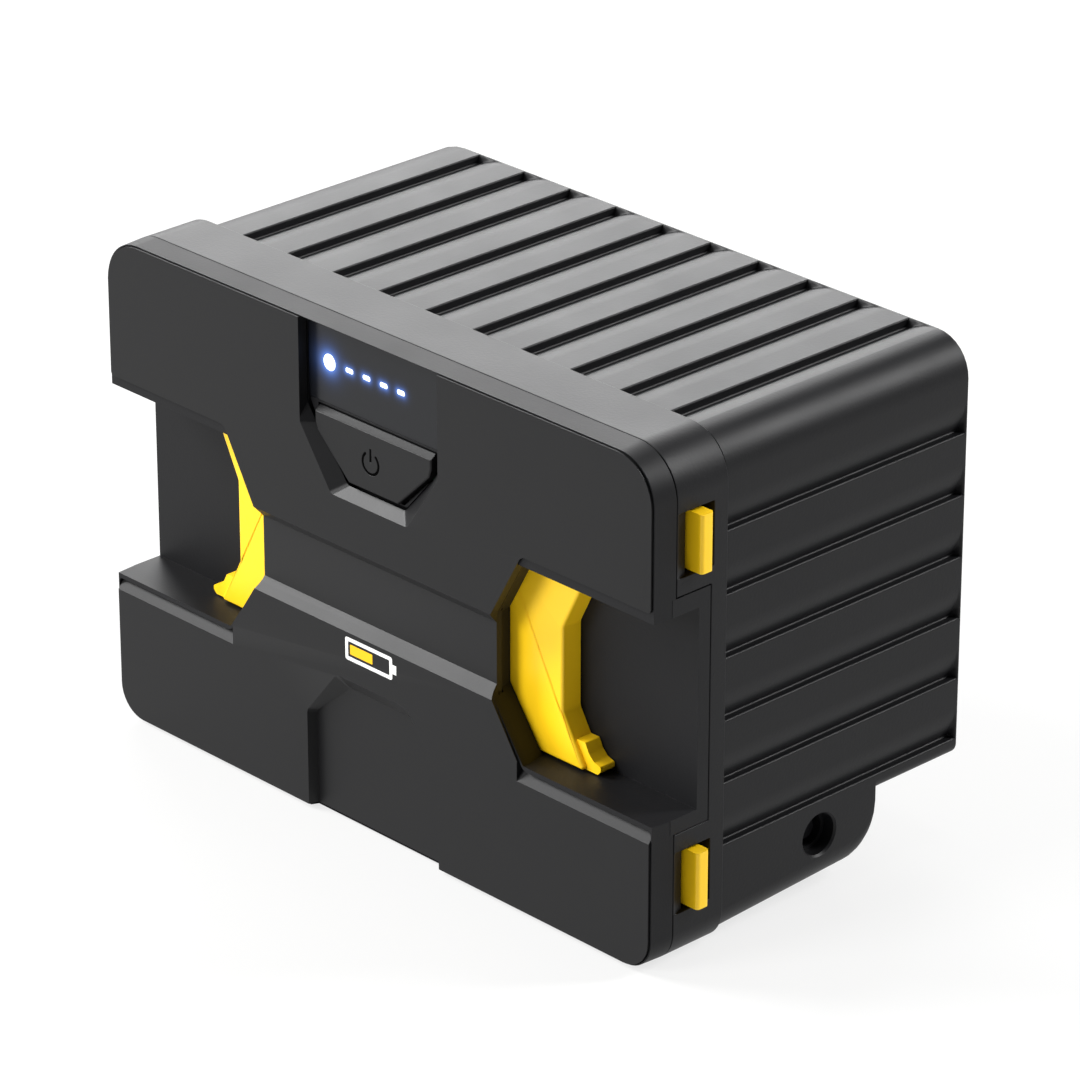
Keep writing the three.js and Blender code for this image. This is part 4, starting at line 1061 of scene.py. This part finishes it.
# %% [markdown]
# ## Grips and latch bars
# The grips are yellow acetal, which slides well on ABS. Each is a C that follows the waist, with
# a generous edge where the fingers press. Behind it a latch bar of the same plastic carries
# two tongues, whose outer corners are rounded.

# %% One grip
GRIP_LOW, GRIP_HIGH = corners("right_grip")
GRIP_FRONT, GRIP_BACK = GRIP_LOW[1] - FRONT, GRIP_HIGH[1] - FRONT
COLUMN_EDGE = 36.3
LAP_LOW, LAP_HIGH = (22, GRIP_FRONT + 0.6, 45), (40, 10.9, 83)
TOE_FRONT = 9.6


def inset_outline(points, distance):
    """Moves each side of an outline inwards by distance: a corner moves along the sum of its
    sides' normals over one plus their dot product."""
    points = np.asarray(points, float)
    along = np.roll(points, -1, axis=0) - points
    along /= np.linalg.norm(along, axis=1, keepdims=True)
    normal = np.column_stack([-along[:, 1], along[:, 0]])
    before = np.roll(normal, 1, axis=0)
    share = 1 + (normal * before).sum(1, keepdims=True)
    return points + distance * (normal + before) / share


def turned_edge(outline, near, far, radius, steps=5):
    """Rings of a slab whose front edge is a quarter round of the given radius."""
    rings = []
    for turn in np.linspace(0, math.pi / 2, steps):
        rings.append(at_depth(inset_outline(outline, radius * (1 - math.sin(turn))),
                              near + radius * (1 - math.cos(turn))))
    return rings + [at_depth(outline, far)]


def grip(side):
    """A finger grip: the C, the lap that the latch bar screws to, and the toe at the bottom."""
    inner = [(COLUMN_EDGE, GRIP_LOW[2]), (64.5, GRIP_LOW[2]), (57, 52), (57, 73.8), (65, GRIP_HIGH[2]),
             (COLUMN_EDGE, GRIP_HIGH[2])]
    outline = fillet(inner, [0.6, 0.8, 2.5, 2.5, 0.8, 0.6], steps=5)
    body = loft(("right" if side > 0 else "left") + "_finger_grip",
                turned_edge(outline, GRIP_FRONT, GRIP_BACK, 0.8))
    carve(body, block("lap", LAP_LOW, LAP_HIGH), "UNION")
    flare = [(60, 0), (67.5, 0), (68.5, 1), (68.5, 2.2), (66.3, 2.8), (64.6, 4.4), (63.4, 6.8), (60, 6.8)]
    toe = fillet(np.array(flare) + (0, GRIP_LOW[2]), [0.2, 0.6, 0.6, 0.5, 1.5, 1.5, 0.5, 0.2], steps=4)
    carve(body, slab("toe", toe, TOE_FRONT, GRIP_BACK), "UNION")
    if side < 0:
        mirror_mesh(body)
    return soften(tidy(body), 0.3)


def mirror_mesh(piece):
    """Mirrors a mesh in the middle plane x = 0 and turns its faces outwards again."""
    form = bmesh.new()
    form.from_mesh(piece.data)
    bmesh.ops.scale(form, vec=(-1, 1, 1), verts=form.verts)
    bmesh.ops.reverse_faces(form, faces=form.faces)
    form.to_mesh(piece.data)
    form.free()


for side, word in ((1, "right"), (-1, "left")):
    install(grip(side), yellow_acetal, word + "_release", "yellow", word + "_grip")

# %% Latch bars
right_bar_low, right_bar_high = corners("right_latch_bar")
TONGUE = {"front": 12.1, "back": 15.9, "high": 14.6, "length": 13, "corner": 0.9}
WEB_FRONT, WEB_BACK = 11.2, 14.2
WEB_X, ARM_X, ARM_HALF = (14, 36), (20, 89), 3.9


def tongue(z):
    """A tongue from above: a plate whose outer corners are rounded."""
    end = right_bar_high[0]
    start = end - TONGUE["length"]
    near, far = TONGUE["front"], TONGUE["back"]
    square = [(start, near), (end, near), (end, far), (start, far)]
    plan = fillet(square, [0.1, TONGUE["corner"], TONGUE["corner"], 0.1], steps=5)
    rings = [np.column_stack([plan[:, 0], FRONT + plan[:, 1], np.full(len(plan), height)])
             for height in (z - TONGUE["high"] / 2, z + TONGUE["high"] / 2)]
    return loft("tongue", rings)


def latch_bar(side):
    """The upright web between the springs and the grip, its two arms and their tongues."""
    word = "right" if side > 0 else "left"
    web = block(word + "_latch", (WEB_X[0], WEB_FRONT, right_bar_low[2]),
                (WEB_X[1], WEB_BACK, right_bar_high[2]))
    for z in TONGUE_Z:
        carve(web, block("arm", (ARM_X[0], WEB_FRONT + 0.01, z - ARM_HALF),
                         (ARM_X[1], WEB_BACK - 0.01, z + ARM_HALF)), "UNION")
        carve(web, tongue(z), "UNION")
    if side < 0:
        mirror_mesh(web)
    return soften(tidy(web), 0.5, segments=3)


for side, word in ((1, "right"), (-1, "left")):
    install(latch_bar(side), yellow_acetal, word + "_release", "yellow", word + "_latch_bar")

# %% [markdown]
# Two coil springs a side push the latch bars out. They stay on the pack's own spine.

# %% Springs
COIL = {"wire": 0.45, "turns": 5, "squeeze": 5.5}


def coil_spring(name, low, high):
    """A helix along x between two corners: at turn angle a its wire's centre is at
    (low + a * pitch / 2 pi, r cos a, r sin a), and a ring of 8 points stands round that
    centre, square to the radius and to x."""
    radius = (high[2] - low[2]) / 2 - COIL["wire"]
    middle = (low + high) / 2
    angle = np.linspace(0, 2 * math.pi * COIL["turns"], 24 * COIL["turns"] + 1)[:, None]
    along = np.linspace(low[0] + COIL["wire"], high[0] - COIL["wire"], len(angle))[:, None]
    rim = np.linspace(0, 2 * math.pi, 8, endpoint=False)[None, :]
    reach = radius + COIL["wire"] * np.cos(rim)
    rings = np.stack([along + COIL["wire"] * np.sin(rim), middle[1] + reach * np.cos(angle),
                      middle[2] + reach * np.sin(angle)], axis=-1)
    return loft(name, rings)


for side, word in ((1, "right"), (-1, "left")):
    for k in (1, 2):
        node = f"{word}_spring_{k}"
        coil_low, coil_high = corners(node)
        coil = coil_spring(f"{word}_coil_{k}", coil_low, coil_high)
        coil.data.shade_smooth()
        install(coil, spring_steel, "pack", "spring", node)
        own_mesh(coil)

# %% [markdown]
# ## Connector and print
# The socket in the rear wall is a block of black polymer with four slots for the bay's blades,
# each with a lead-in. On the front, a small battery pictogram is pad-printed in white with a
# yellow bar. Each colour is a film that stands 0.03 mm proud of the plate.

# %% Connector
PLUG_SLOT = {"half": 4.6, "inset": 3.5, "floor": 1.2}
BLADES = (-21, -7, 7, 21)
plug_near, plug_far = PLUG_LOW[1] - FRONT, PLUG_HIGH[1] - FRONT
socket = loft("blade_socket", [at_depth(plug_hole(-0.6), plug_far), at_depth(plug_hole(0), plug_far - 0.6),
                               at_depth(plug_hole(0), plug_near)])


def blade_slot(x):
    """A slot with a chamfered mouth, 0.8 mm wider at the face."""
    half, low, high = PLUG_SLOT["half"], PLUG_LOW[2] + PLUG_SLOT["inset"], PLUG_HIGH[2] - PLUG_SLOT["inset"]
    hole = np.array([(x + half, low), (x + half, high), (x - half, high), (x - half, low)])
    wide = inset_outline(hole, -0.8)
    return loft("slot", [at_depth(wide, plug_far + 0.2), at_depth(hole, plug_far - 0.8),
                         at_depth(hole, plug_near + PLUG_SLOT["floor"])])


carve(socket, merged("slots", [blade_slot(x) for x in BLADES]))
soften(tidy(socket), 0.15)
install(socket, epdm_rubber, "pack", "rubber", "rear_connector")

# %% Printed pictogram
INK = 0.03

white_ink = moulded("white_pad_print", "#E9E9E6", 0.4, grain=0.3, relief=0.004, edge_highlight=0.0)
yellow_ink = moulded("yellow_pad_print", "#F4B912", 0.4, grain=0.3, relief=0.004, edge_highlight=0.0)


def rectangle(left, low, right, high):
    """Corners of a box in the front view."""
    return [(right, low), (right, high), (left, high), (left, low)]


symbol_frame = slab("battery_outline", fillet(rectangle(-9, 45.4, 7.6, 51.4), 0.7, steps=4), -INK, INK)
carve(symbol_frame, slab("window", fillet(rectangle(-8, 46.4, 6.6, 50.4), 0.3, steps=4), -1, 1))
carve(symbol_frame, slab("nub", rectangle(7.3, 47.2, 9, 49.6), -INK, INK), "UNION")
install(tidy(symbol_frame), white_ink, "pack", "white_plastic")
charge = slab("battery_charge", fillet(rectangle(-7.3, 47.1, 0.6, 49.7), 0.2, steps=3), -INK, INK)
install(charge, yellow_ink, "pack", "yellow")
